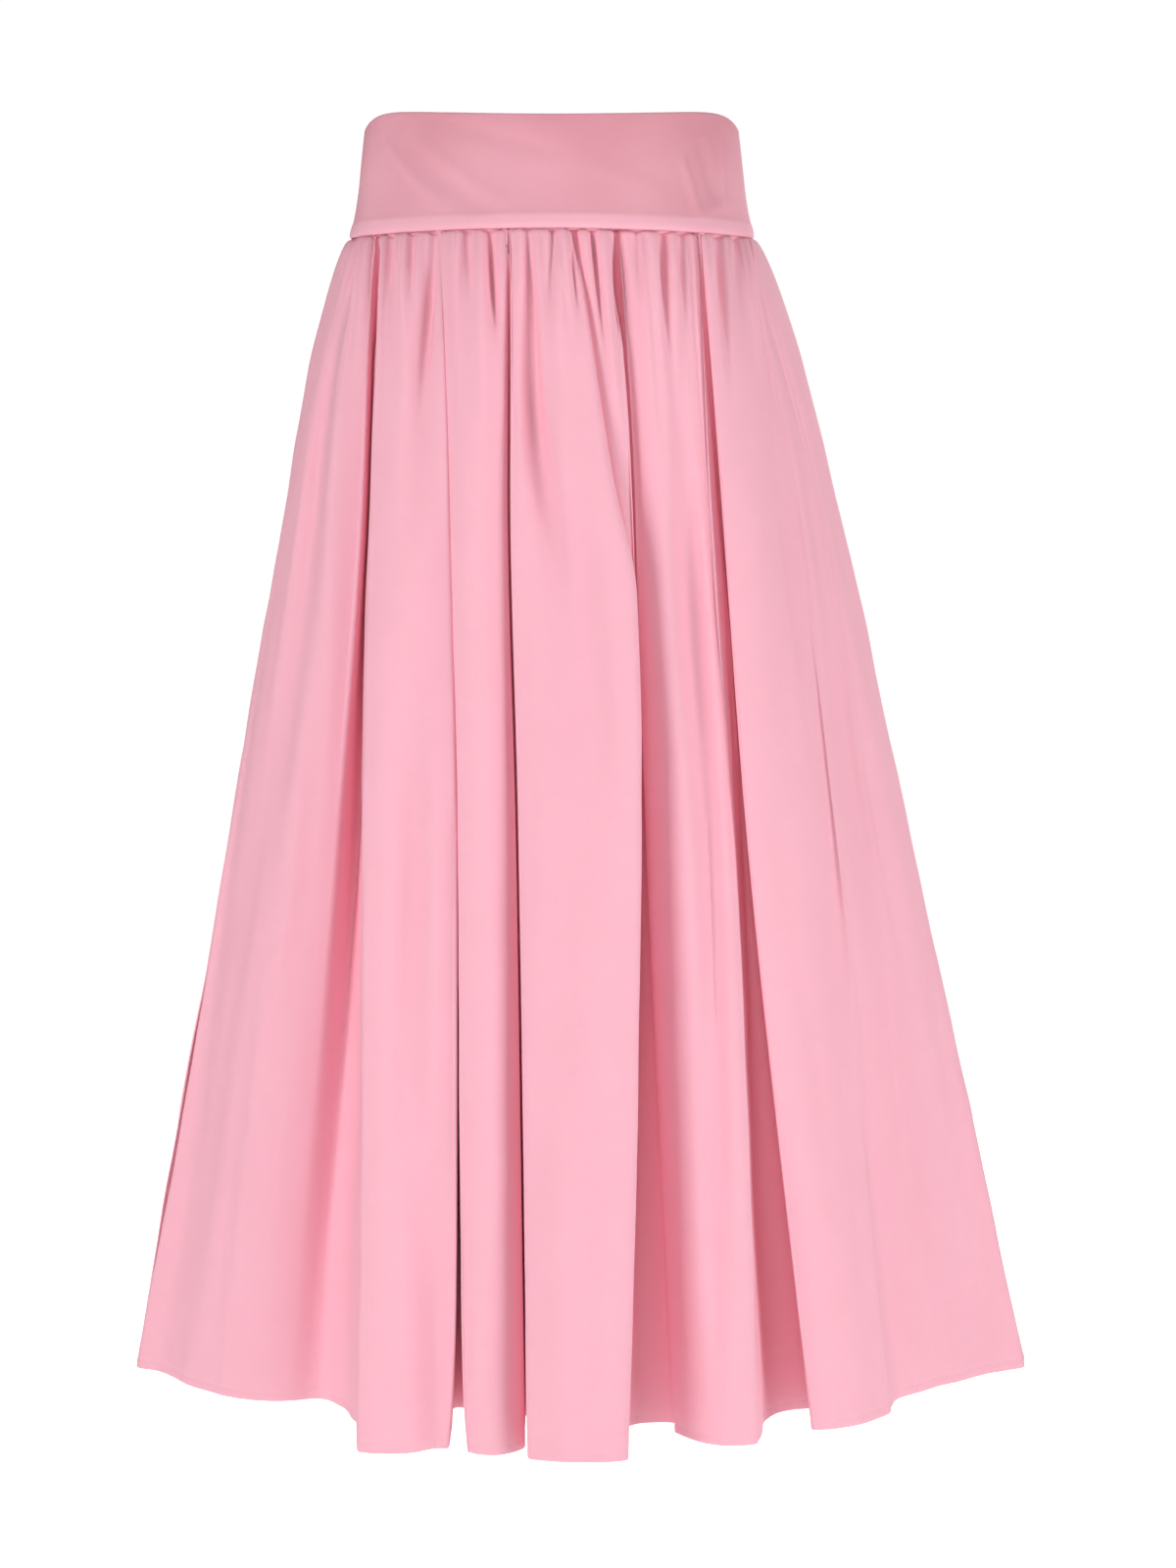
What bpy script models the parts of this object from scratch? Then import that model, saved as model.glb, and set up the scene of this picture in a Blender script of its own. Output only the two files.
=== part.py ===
"""Gathered midi skirt with a fitted waistband, filled out as if worn.

The frame is in metres with +Z up. The origin is the middle of the waist opening at the
height of the band's top edge, and the front faces -Y. The skirt hangs below it.

The cloth is a ring of folds. At every height the ring is an ellipse that widens from the
waist seam to the hem, and the FRONT and BACK tables say where each fold stands on it.
"""

import math
from typing import NamedTuple

import bpy
import numpy as np

MM = 0.001

# Waistband
WAIST_HALF_WIDTH = 0.127
WAIST_HALF_DEPTH = 0.094
BAND_HEIGHT = 0.0736
BAND_WALL = 0.0020
BAND_SIDE_RISE = 0.005  # how far the top edge climbs from centre front towards the sides
BAND_CORNER_DIP = 0.012  # how far it drops again right at the side seams
BAND_COLUMNS = 60
BAND_ROWS = np.array([0, 0.2, 0.4, 0.6, 0.8, 0.95, 1])
BAND_KICK = 0.3  # share of the band's widening that comes close above the seam

# Waist seam, where the gathers start
SEAM_HALF_WIDTH = 0.137
SEAM_HALF_DEPTH = 0.105
SEAM_SIDE_DROP = 0.0045
SEAM_GAP = 0.0004

# Skirt
HEM_DROP = 0.865  # from the top edge down to the hem
HEM_HALF_WIDTH = 0.3145
HEM_FRONT_DEPTH = 0.224
HEM_BACK_DEPTH = 0.205
HEM_SHIFT = 0.020  # the skirt swings a little to +X on its way down
HIP_SPRING = 0.0155  # the quick widening just under the seam
HIP_SPRING_LENGTH = 0.045  # as a share of the skirt's length
SKIRT_WALL = 0.0012

# Small gathers under the seam
GATHER_HEIGHT = 0.0016
GATHER_FADE = 0.085  # share of the skirt's length over which they die out
GATHER_FADE_POWER = 1.5
GATHER_STRENGTHS = (0.5, 1.2)  # lowest and highest multiple of the height
GATHER_REACHES = (0.6, 1.3)  # lowest and highest multiple of the fade
LINES_PER_GATHER = 3
GATHER_PITCH = 0.012
GATHER_SEED = 7

# Heights of the columns of figures in the fold tables, from the seam (0) to the hem (1)
LEVELS = np.array([0.0, 0.2, 0.5, 1.0])
ROWS = np.array([0, 0.008, 0.03, 0.06, 0.10, 0.15, 0.22, 0.31, 0.42, 0.55, 0.69, 0.84, 1])
ROUNDNESS_RISE = (0.25, 0.6, 0.85, 1.0)
WING_ANGLE = (3.0, 4.0, 3.5, 2.5)  # degrees of the ring from a side edge to its front line
WING_SHARES = (-1, -0.5, 0, 0.5, 1.7, 3)  # where the lines round a side edge lie
WING_TIP = 2  # the line on the side seam
WALL_SHARES = (0.22, 0.68)  # where the lines on a deep valley's walls lie, from the mouth
MOUTH_SHARE = 0.25  # of the valley's mouth that its half floor takes at every height
FACE_SPANS_MIN = 3  # spans between lines on the narrowest fold face

# Zip at the centre back
ZIP_TOP = 0.002  # of the tape's top end below the band's top edge
ZIP_LENGTH = 0.215
ZIP_WIDTH = 0.022
ZIP_WALL = 0.0011
ZIP_CLEARANCE = 0.0005
ZIP_FLAT = 0.016  # the cloth lies flat this far each side of the zip
ZIP_ROWS = 15
ZIP_EASE = 0.004  # the tape clears the cloth this far above and below each of its rows
SLIDER_WIDTH = 0.0058
SLIDER_LENGTH = 0.0090
SLIDER_THICKNESS = 0.0016
SLIDER_DROP = 0.0130  # of the slider's middle below the band's top edge
SLIDER_SEAT = 0.0003  # gap to the band
SLIDER_EDGE = 0.0003
SLIDER_EDGE_SEGMENTS = 2
SHARP_ANGLE = 35.0  # degrees
BAIL_SEGMENTS = (20, 8)  # round the ring and round its wire
BAIL_RADIUS = 0.00175  # of the ring that the pull hangs from
BAIL_WIRE = 0.00045
BAIL_STAND = 0.00115  # of the ring's middle off the slider's face
BAIL_RISE = 0.0018  # of the ring's middle above the slider's middle
PULL_LENGTH = 0.024
PULL_NECK = 0.0046
PULL_WIDTH = 0.0058
PULL_THICKNESS = 0.0012
PULL_EYE = (0.0020, 0.0024)  # width and length of the hole that the ring passes through
PULL_REST = 0.0005  # gap between the hanging pull's end and the band
PULL_ARC_STEPS = 12

PINK_CLOTH = (0.87, 0.47, 0.56, 1.0)
PINK_METAL = (0.80, 0.42, 0.50, 1.0)
PINK_TAPE = (0.82, 0.43, 0.52, 1.0)

FRONT_SIDE = -1
BACK_SIDE = 1


class Fold(NamedTuple):
    """One fold that stands out on the ring, and the valley that follows it towards +X.

    Widths and depths are in millimetres. left, right, set_back and floor are read at the
    four LEVELS: seam, hip, knee and hem.
    """

    name: str
    left: tuple  # x of its left edge
    right: tuple  # x of its right edge
    set_back: tuple  # how far its crown lies inside the ring
    floor: tuple  # how far the valley's floor lies inside the ring
    roundness: float = 0.6  # 1 makes the fold half round at the hem, 0 leaves it flat
    tilt: float = 0.0  # extra set-back of the right edge over the left at the hem
    lean: float = 0.0  # sideways shift of the valley's floor at the hem
    floor_width: float = 0.0  # of a deep valley's floor at the hem, 0 for a soft valley


class Crease(NamedTuple):
    """A soft trough on the face of a fold, or a ridge where its depth is negative."""

    side: int
    x: tuple  # at its start, middle and end, in millimetres
    height: tuple  # from the seam (0) to the hem (1), at the same three places
    half_width: float  # in millimetres
    depth: float  # in millimetres


FRONT = (
    Fold("left side", (-136, -175, -217, -284), (-121, -125, -141, -188),
         (0, 8, 26, 66), (3, 60, 84, 92), 0.25, 30, -6, 18),
    Fold("left front", (-112, -116, -120, -125), (-75, -67, -62, -66),
         (0, 0, 0, 0), (3, 52, 96, 168), 0.55, 0, 0, 12),
    Fold("left of centre", (-70, -64, -59, -56), (-28, -30, -30, -19),
         (0, 2, 4, 8), (3, 52, 88, 124), 0.75, 0, 3, 10),
    Fold("centre", (-23, -24, -23, -15), (10, 37, 59, 50),
         (0, 0, 0, 0), (2, 14, 30, 36), 0.60, 0, 0, 0),
    Fold("tucked under centre", (14, 40, 61, 52), (41, 52, 63, 56),
         (0, 4, 50, 66), (3, 62, 88, 138), 0.5, 44, -4, 18),
    Fold("right of centre", (46, 55, 68, 90), (95, 107, 121, 133),
         (0, 2, 3, 4), (3, 46, 80, 152), 0.75, 0, 10, 16),
    Fold("right front", (100, 112, 130, 173), (131, 160, 189, 231),
         (0, 2, 9, 38), (2, 12, 20, 60), 0.70, 0, 0, 0),
    Fold("right hip", (133, 164, 193, 237), (134.2, 174, 208, 264),
         (0, 4, 14, 80), (2, 8, 30, 100), 0.10, 24, 4, 0),
    Fold("right side", (135.2, 178, 220, 304), (136.3, 184, 234, 322),
         (0, 4, 12, 70), (0, 0, 0, 0), 0.10, -16, 0, 0),
)

BACK = (
    Fold("back left side", (-134, -176, -216, -270), (-106, -137, -163, -202),
         (0, 5, 18, 44), (3, 34, 62, 104), 0.35, -20, 2, 16),
    Fold("back left", (-101, -130, -152, -182), (-68, -88, -103, -124),
         (0, 0, 0, 4), (3, 46, 84, 128), 0.65, 0, -3, 14),
    Fold("back left of centre", (-63, -81, -92, -108), (-29, -37, -42, -50),
         (0, 0, 2, 6), (3, 40, 72, 112), 0.70, 0, 2, 12),
    Fold("centre back", (-25, -31, -33, -34), (25, 33, 42, 56),
         (0, 0, 0, 0), (3, 44, 80, 122), 0.35, 0, 4, 14),
    Fold("back right of centre", (30, 40, 52, 69), (62, 79, 100, 126),
         (0, 1, 3, 2), (3, 42, 78, 130), 0.70, 0, 0, 14),
    Fold("back right", (67, 86, 111, 143), (98, 127, 162, 204),
         (0, 0, 2, 6), (3, 38, 64, 108), 0.60, 0, 4, 16),
    Fold("back right side", (103, 134, 172, 224), (134, 180, 234, 308),
         (0, 5, 16, 42), (0, 0, 0, 0), 0.35, 24, 0, 0),
)

CREASES = (
    Crease(FRONT_SIDE, (-135, -160, -215), (0.00, 0.25, 0.60), 11, 9),
    Crease(FRONT_SIDE, (-76, -88, -98), (0.01, 0.12, 0.28), 7, 6),
    Crease(FRONT_SIDE, (-15, -8, 4), (0.00, 0.20, 0.48), 7, 8),
    Crease(FRONT_SIDE, (-8, 12, 24), (0.08, 0.25, 0.42), 9, 4),
    Crease(FRONT_SIDE, (78, 97, 107), (0.02, 0.30, 0.72), 9, 12),
    Crease(FRONT_SIDE, (110, 113, 116), (0.00, 0.06, 0.12), 5, 4),
    Crease(BACK_SIDE, (-88, -108, -126), (0.00, 0.22, 0.50), 9, 7),
    Crease(BACK_SIDE, (-44, -62, -70), (0.02, 0.20, 0.44), 8, 6),
    Crease(BACK_SIDE, (47, 64, 80), (0.01, 0.24, 0.56), 9, 8),
    Crease(BACK_SIDE, (84, 104, 132), (0.03, 0.22, 0.50), 10, 7),
    Crease(BACK_SIDE, (120, 158, 206), (0.02, 0.30, 0.66), 11, 9),
)


def along(values, heights):
    """A smooth monotone curve through the four values at LEVELS, read at the heights."""
    values = np.asarray(values, float)
    steps = np.diff(LEVELS)
    slopes = np.diff(values) / steps
    tangents = np.empty(4)
    tangents[0], tangents[3] = slopes[0], slopes[2]
    for inner in (1, 2):
        before, after = slopes[inner - 1], slopes[inner]
        same_way = before * after > 0
        tangents[inner] = 2 * before * after / (before + after) if same_way else 0.0
    span = np.clip(np.searchsorted(LEVELS, heights, side="right") - 1, 0, 2)
    step = steps[span]
    s = (heights - LEVELS[span]) / step
    start = (1 + 2 * s) * (1 - s) ** 2 * values[span]
    start += s * (1 - s) ** 2 * step * tangents[span]
    end = s**2 * (3 - 2 * s) * values[span + 1]
    end += s**2 * (s - 1) * step * tangents[span + 1]
    return start + end


def ring_half_width(heights):
    """Half the skirt's width: a straight flare with a quick spring under the seam."""
    spring = HIP_SPRING * (1 - np.exp(-heights / HIP_SPRING_LENGTH))
    return SEAM_HALF_WIDTH + spring + (HEM_HALF_WIDTH - SEAM_HALF_WIDTH - HIP_SPRING) * heights


def ring_half_depth(heights, side):
    """Half the skirt's depth towards the front or the back, with the same flare."""
    hem_depth = HEM_FRONT_DEPTH if side == FRONT_SIDE else HEM_BACK_DEPTH
    flare = (ring_half_width(heights) - SEAM_HALF_WIDTH) / (HEM_HALF_WIDTH - SEAM_HALF_WIDTH)
    return SEAM_HALF_DEPTH + (hem_depth - SEAM_HALF_DEPTH) * flare


def crease_depth(x, heights, side):
    """How far the creases of one side push the cloth inwards at x."""
    total = np.zeros_like(x)
    for crease in CREASES:
        if crease.side != side:
            continue
        start, middle, end = crease.height
        bend = np.polyfit(crease.height, crease.x, 2)
        centre = np.polyval(bend, heights) * MM
        rise = np.clip((heights - start) / (middle - start), 0, 1)
        fall = np.clip((end - heights) / (end - middle), 0, 1)
        strength = np.sin(0.5 * math.pi * np.minimum(rise, fall)) ** 2
        across = (x - centre) / (crease.half_width * MM)
        total += crease.depth * MM * strength * np.exp(-(across**2))
    return total


def on_ring(x, set_back, heights, side):
    """Plan points at x, set back from the ring, one for each height."""
    across = np.clip((x - HEM_SHIFT * heights) / ring_half_width(heights), -1, 1)
    reach = ring_half_depth(heights, side) * np.sqrt(1 - across**2)
    return np.stack([x, side * np.maximum(reach - set_back, 0)], axis=-1)


def fold_face(fold, heights, side):
    """The lines on the face of a fold, from its left edge to its right edge."""
    left = along(fold.left, heights) * MM
    right = along(fold.right, heights) * MM
    set_back = along(fold.set_back, heights) * MM
    roundness = fold.roundness * along(ROUNDNESS_RISE, heights)
    ends = [on_ring(x, 0 * x, heights, side)[0] for x in (left, right)]
    spans = max(FACE_SPANS_MIN, round(math.dist(*ends) / GATHER_PITCH * LINES_PER_GATHER))
    lines = []
    for share in np.linspace(0, 1, spans + 1):
        x = left + (right - left) * share
        rounding = 1 - math.sqrt(max(0.0, 1 - (2 * share - 1) ** 2))
        fall = roundness * (right - left) / 2 * rounding
        slant = fold.tilt * MM * (share - 0.5) * heights
        inwards = set_back + fall + slant + crease_depth(x, heights, side)
        lines.append(on_ring(x, inwards, heights, side))
    return lines


def valley(fold, next_fold, heights, side):
    """The lines between two folds: down one wall, along the floor and up the other."""
    left = fold_face(fold, heights, side)[-1]
    right = fold_face(next_fold, heights, side)[0]
    depth = along(fold.floor, heights) * MM
    centre = (left[:, 0] + right[:, 0]) / 2 + fold.lean * MM * heights**2
    if not fold.floor_width:
        return [on_ring(centre, depth, heights, side)]
    mouth = right[:, 0] - left[:, 0]
    half_floor = fold.floor_width / 2 * MM * heights + MOUTH_SHARE * mouth
    floor_left = on_ring(centre - half_floor, depth, heights, side)
    floor_right = on_ring(centre + half_floor, depth, heights, side)
    down = [left + (floor_left - left) * share for share in WALL_SHARES]
    up = [right + (floor_right - right) * share for share in reversed(WALL_SHARES)]
    return [*down, floor_left, floor_right, *up]


def side_of_ring(folds, heights, side):
    """All lines of the front or the back from -X to +X, and whether each may be gathered."""
    lines, gathered = [], []
    for fold, next_fold in zip(folds, (*folds[1:], None)):
        face = fold_face(fold, heights, side)
        lines += face
        gathered += [0, *[1] * (len(face) - 2), 0]
        if next_fold:
            between = valley(fold, next_fold, heights, side)
            lines += between
            gathered += [0] * len(between)
    return lines, gathered


def wing(heights, end):
    """The lines round a side edge, front first: end is -1 for the left side, 1 for the right."""
    lines = []
    for share in WING_SHARES:
        angle = share * np.radians(along(WING_ANGLE, heights))
        x = HEM_SHIFT * heights + end * ring_half_width(heights) * np.cos(angle)
        side = BACK_SIDE if share > 0 else FRONT_SIDE
        lines.append(np.stack([x, ring_half_depth(heights, side) * np.sin(angle)], axis=-1))
    return lines


def gather_offsets(gathered, heights):
    """How far each line is pushed out by the small gathers under the seam."""
    random = np.random.default_rng(GATHER_SEED)
    count = len(gathered)
    strength = random.uniform(*GATHER_STRENGTHS, count)
    fade = GATHER_FADE * random.uniform(*GATHER_REACHES, count)
    wave = np.cos(2 * math.pi * np.arange(count) / LINES_PER_GATHER)
    decay = np.exp(-((heights[:, None] / fade) ** GATHER_FADE_POWER))
    return GATHER_HEIGHT * np.array(gathered) * wave * strength * decay


def outward(plan):
    """Unit vectors that point out of the ring, level by level."""
    way = np.roll(plan, -1, axis=1) - np.roll(plan, 1, axis=1)
    way /= np.linalg.norm(way, axis=2, keepdims=True)
    return np.stack([way[..., 1], -way[..., 0]], axis=-1)


def skirt_ring(heights):
    """Plan points of the whole ring by height and line, with the indices of its seams.

    The ring runs from the left side along the front to the right side, and back along the
    back. The lines are the corners of a smooth curve, so each point is drawn towards its
    neighbours by the curve's own weights.
    """
    front, front_gathered = side_of_ring(FRONT, heights, FRONT_SIDE)
    back, back_gathered = side_of_ring(BACK, heights, BACK_SIDE)
    left, right = wing(heights, -1), wing(heights, 1)
    lines = [*left[WING_TIP::-1], *front, *right, *back[::-1], *left[:WING_TIP:-1]]
    before, after = [0] * WING_TIP, [0] * (len(WING_SHARES) - 1 - WING_TIP)
    gathered = [0, *before, *front_gathered, *before, 0, *after, *back_gathered[::-1], *after]
    corners = np.stack(lines, axis=1)
    plan = (np.roll(corners, 1, axis=1) + 4 * corners + np.roll(corners, -1, axis=1)) / 6
    right_tip = 1 + 2 * WING_TIP + len(front)
    behind = np.where(plan[0, :, 1] > 0)[0]
    centre_back = behind[np.argmin(np.abs(plan[0, behind, 0]))]
    push = gather_offsets(gathered, heights)
    near_zip = (np.abs(plan[0, :, 0]) < ZIP_FLAT) & (plan[0, :, 1] > 0)
    push[:, near_zip] = 0
    return plan + outward(plan) * push[..., None], right_tip, centre_back


def seam_height(x):
    """Height of the waist seam at x: it drops a little towards the sides."""
    return -BAND_HEIGHT - SEAM_SIDE_DROP * np.clip(x / SEAM_HALF_WIDTH, -1, 1) ** 2


def skirt_points(heights):
    """The ring's points in space, with the indices of the right side and the centre back."""
    plan, right_tip, centre_back = skirt_ring(heights)
    top = seam_height(plan[0, :, 0]) - SEAM_GAP
    z = top[None, :] + (-HEM_DROP - top[None, :]) * heights[:, None]
    return np.concatenate([plan, z[..., None]], axis=2), right_tip, centre_back


def parted(grid):
    """The grid with its first and last columns drawn in by half of the seam gap."""
    grid = grid.copy()
    for edge, neighbour in ((0, 1), (-1, -2)):
        way = grid[:, neighbour] - grid[:, edge]
        way /= np.linalg.norm(way, axis=1, keepdims=True)
        grid[:, edge] += way * SEAM_GAP / 2
    return grid


def new_material(name, colour, roughness, metallic=0.0):
    """A plain Principled material."""
    material = bpy.data.materials.new(name)
    material.use_nodes = True
    shader = material.node_tree.nodes["Principled BSDF"]
    shader.inputs["Base Color"].default_value = colour
    shader.inputs["Roughness"].default_value = roughness
    shader.inputs["Metallic"].default_value = metallic
    return material


def new_object(name, mesh, material, collection):
    """An object for the mesh, smooth shaded, in the collection."""
    mesh.materials.append(material)
    mesh.shade_smooth()
    piece = bpy.data.objects.new(name, mesh)
    collection.objects.link(piece)
    return piece


def cloth_shell(name, grid, wall, material, collection):
    """A shell whose outer face is a loft through the rows of the grid.

    The rows run downwards and the columns run so that the cloth's outside is on their
    right, and the wall's thickness goes inwards.
    """
    rows, columns = grid.shape[:2]
    faces = []
    for row in range(rows - 1):
        for column in range(columns - 1):
            corner = row * columns + column
            faces.append((corner, corner + columns, corner + columns + 1, corner + 1))
    mesh = bpy.data.meshes.new(name)
    mesh.from_pydata(grid.reshape(-1, 3).tolist(), [], faces)
    mesh.update()
    shell = new_object(name, mesh, material, collection)
    solidify = shell.modifiers.new("Wall", "SOLIDIFY")
    solidify.thickness = wall
    solidify.offset = -1
    return shell


def make_skirt(material, collection):
    """The front panel and the two back panels."""
    points, right_tip, centre_back = skirt_points(ROWS)
    closed = np.concatenate([points, points[:, :1]], axis=1)
    front = parted(points[:, : right_tip + 1])
    back_right = parted(points[:, right_tip : centre_back + 1])
    back_left = parted(closed[:, centre_back:])
    cloth_shell("front_panel", front, SKIRT_WALL, material, collection)
    cloth_shell("back_right_panel", back_right, SKIRT_WALL, material, collection)
    cloth_shell("back_left_panel", back_left, SKIRT_WALL, material, collection)


def band_point(turn, share):
    """A point on the band's outside: turn is the angle from centre front, share runs down it.

    The last row stands upright, so that the wall's lower rim is level.
    """
    widened = np.minimum(share / BAND_ROWS[-2], 1)
    flare = (1 - BAND_KICK) * widened + BAND_KICK * widened**4
    half_width = WAIST_HALF_WIDTH + (SEAM_HALF_WIDTH - WAIST_HALF_WIDTH) * flare
    half_depth = WAIST_HALF_DEPTH + (SEAM_HALF_DEPTH - WAIST_HALF_DEPTH) * flare
    x = half_width * np.sin(turn)
    y = -half_depth * np.cos(turn)
    across = np.sin(turn) ** 2
    top = BAND_SIDE_RISE * across - BAND_CORNER_DIP * across**8
    bottom = seam_height(SEAM_HALF_WIDTH * np.sin(turn))
    return np.stack([x, y, top + (bottom - top) * share], axis=-1)


def make_band(material, collection):
    """The three pieces of the waistband."""
    quarter = math.pi / 2
    pieces = (
        ("band_front", -quarter, quarter, BAND_COLUMNS // 2),
        ("band_back_right", quarter, 2 * quarter, BAND_COLUMNS // 4),
        ("band_back_left", 2 * quarter, 3 * quarter, BAND_COLUMNS // 4),
    )
    for name, start, end, columns in pieces:
        turn, share = np.meshgrid(np.linspace(start, end, columns + 1), BAND_ROWS)
        cloth_shell(name, parted(band_point(turn, share)), BAND_WALL, material, collection)


def back_face(height):
    """How far back the cloth's outside lies at centre back, at a height below the waist."""
    if height > -BAND_HEIGHT:
        return band_point(math.pi, -height / BAND_HEIGHT)[1]
    share = (-height - BAND_HEIGHT - SEAM_GAP) / (HEM_DROP - BAND_HEIGHT - SEAM_GAP)
    return ring_half_depth(np.array([max(share, 0.0)]), BACK_SIDE)[0]


def make_zip(material, collection):
    """The zip's tape, a strip behind the centre back seam."""
    wall = max(BAND_WALL, SKIRT_WALL)
    half = ZIP_WIDTH / 2
    rows = []
    for height in np.linspace(-ZIP_TOP, -ZIP_LENGTH, ZIP_ROWS):
        nearest = min(back_face(height + ease) for ease in (-ZIP_EASE, 0, ZIP_EASE))
        middle = nearest - wall - ZIP_CLEARANCE
        edge = middle - ZIP_CLEARANCE
        rows.append([(half, edge, height), (0, middle, height), (-half, edge, height)])
    cloth_shell("zip_tape", np.array(rows), ZIP_WALL, material, collection)


def band_slope():
    """The band's lean at centre back, in radians from upright."""
    run = back_face(-SLIDER_DROP - SLIDER_LENGTH) - back_face(-SLIDER_DROP + SLIDER_LENGTH)
    return math.atan2(run, 2 * SLIDER_LENGTH)


def pull_axis():
    """The point on the zip pull's hinge axis at x = 0, in the plane of the bail ring."""
    slope = band_slope()
    out = SLIDER_SEAT + SLIDER_THICKNESS + BAIL_STAND
    y = back_face(-SLIDER_DROP) + out * math.cos(slope) - BAIL_RISE * math.sin(slope)
    z = -SLIDER_DROP + out * math.sin(slope) + BAIL_RISE * math.cos(slope)
    return (0.0, y, z)


def make_slider(material, collection, helpers):
    """The zip's slider: a bevelled plate with the bail ring sunk into its face."""
    slope = band_slope()
    out = SLIDER_SEAT + SLIDER_THICKNESS / 2
    middle = (
        0.0,
        back_face(-SLIDER_DROP) + out * math.cos(slope),
        -SLIDER_DROP + out * math.sin(slope),
    )
    bpy.ops.mesh.primitive_cube_add(size=1, location=middle, rotation=(slope, 0, 0))
    plate = bpy.context.object
    plate.name = plate.data.name = "zip_slider"
    plate.scale = (SLIDER_WIDTH, SLIDER_THICKNESS, SLIDER_LENGTH)
    bpy.ops.object.transform_apply(location=False, rotation=False, scale=True)
    bpy.ops.mesh.primitive_torus_add(
        major_radius=BAIL_RADIUS,
        minor_radius=BAIL_WIRE,
        major_segments=BAIL_SEGMENTS[0],
        minor_segments=BAIL_SEGMENTS[1],
        location=pull_axis(),
        rotation=(0, math.pi / 2, 0),
    )
    bail = bpy.context.object
    bail.name = bail.data.name = "bail_ring"
    for piece, home in ((plate, collection), (bail, helpers)):
        for current in list(piece.users_collection):
            current.objects.unlink(piece)
        home.objects.link(piece)
    bail.hide_render = True
    bail.display_type = "WIRE"
    bevel = plate.modifiers.new("Rounded edges", "BEVEL")
    bevel.width = SLIDER_EDGE
    bevel.segments = SLIDER_EDGE_SEGMENTS
    join = plate.modifiers.new("Bail ring", "BOOLEAN")
    join.operation = "UNION"
    join.object = bail
    plate.data.materials.append(material)
    plate.data.shade_smooth()
    plate.data.set_sharp_from_angle(angle=math.radians(SHARP_ANGLE))


def make_pull(material, collection):
    """The zip's pull tab, a flat outline with an eye, hanging from the bail ring."""
    eye_width, eye_length = PULL_EYE
    bar = PULL_THICKNESS / 2
    neck, wide = PULL_NECK / 2, PULL_WIDTH / 2
    eye_end = -bar - eye_length
    outline = [(-neck, bar), (-neck, eye_end - bar), (-wide, 2 * (eye_end - bar))]
    for step in range(PULL_ARC_STEPS + 1):
        turn = math.pi * (1 + step / PULL_ARC_STEPS)
        outline.append((wide * math.cos(turn), wide - PULL_LENGTH + wide * math.sin(turn)))
    outline += [(wide, 2 * (eye_end - bar)), (neck, eye_end - bar), (neck, bar)]
    half_eye = eye_width / 2
    eye = [(-half_eye, -bar), (half_eye, -bar), (half_eye, eye_end), (-half_eye, eye_end)]
    tab = bpy.data.curves.new("zip_pull", "CURVE")
    tab.dimensions = "2D"
    tab.fill_mode = "BOTH"
    tab.extrude = PULL_THICKNESS / 2
    for corners in (outline, eye):
        spline = tab.splines.new("POLY")
        spline.points.add(len(corners) - 1)
        spline.use_cyclic_u = True
        for point, (x, y) in zip(spline.points, corners):
            point.co = (x, y, 0, 1)
    tab.materials.append(material)
    _, axis_y, axis_z = pull_axis()
    end_face = back_face(axis_z - PULL_LENGTH) + PULL_REST + PULL_THICKNESS / 2
    lean = math.asin((end_face - axis_y) / PULL_LENGTH)
    pull = bpy.data.objects.new("zip_pull", tab)
    pull.location = pull_axis()
    pull.rotation_euler = (math.pi / 2 + lean, 0, 0)
    collection.objects.link(pull)


def clear_scene():
    """Removes whatever the scene holds."""
    for item in list(bpy.data.objects):
        bpy.data.objects.remove(item, do_unlink=True)


def main():
    clear_scene()
    collection = bpy.data.collections.new("gathered_skirt")
    bpy.context.scene.collection.children.link(collection)
    helpers = bpy.data.collections.new("helpers")
    bpy.context.scene.collection.children.link(helpers)
    cloth = new_material("pink_cloth", PINK_CLOTH, 0.8)
    tape = new_material("pink_tape", PINK_TAPE, 0.75)
    metal = new_material("pink_metal", PINK_METAL, 0.35, 0.6)
    make_skirt(cloth, collection)
    make_band(cloth, collection)
    make_zip(tape, collection)
    make_slider(metal, collection, helpers)
    make_pull(metal, collection)


main()
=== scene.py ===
"""The finished look of a gathered midi skirt: its cloth, band, hem, zip and studio.

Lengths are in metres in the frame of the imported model: +Z is up, the front faces -Y, and the
origin is the middle of the waist opening at the height of the band's top edge.

The skirt is a ring of folds. At every height its plan is an ellipse, the fold tables say
where each fold stands on it, and the resulting lines are the corners of a cubic B-spline, so
a point of the cloth is a function of two parameters: the place round the ring and the height.
Gathers, creases, seams and the turned hem are then worked into that surface along its own
normals.
"""

import logging
import math
from dataclasses import dataclass, field
from enum import Enum
from typing import NamedTuple

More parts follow.
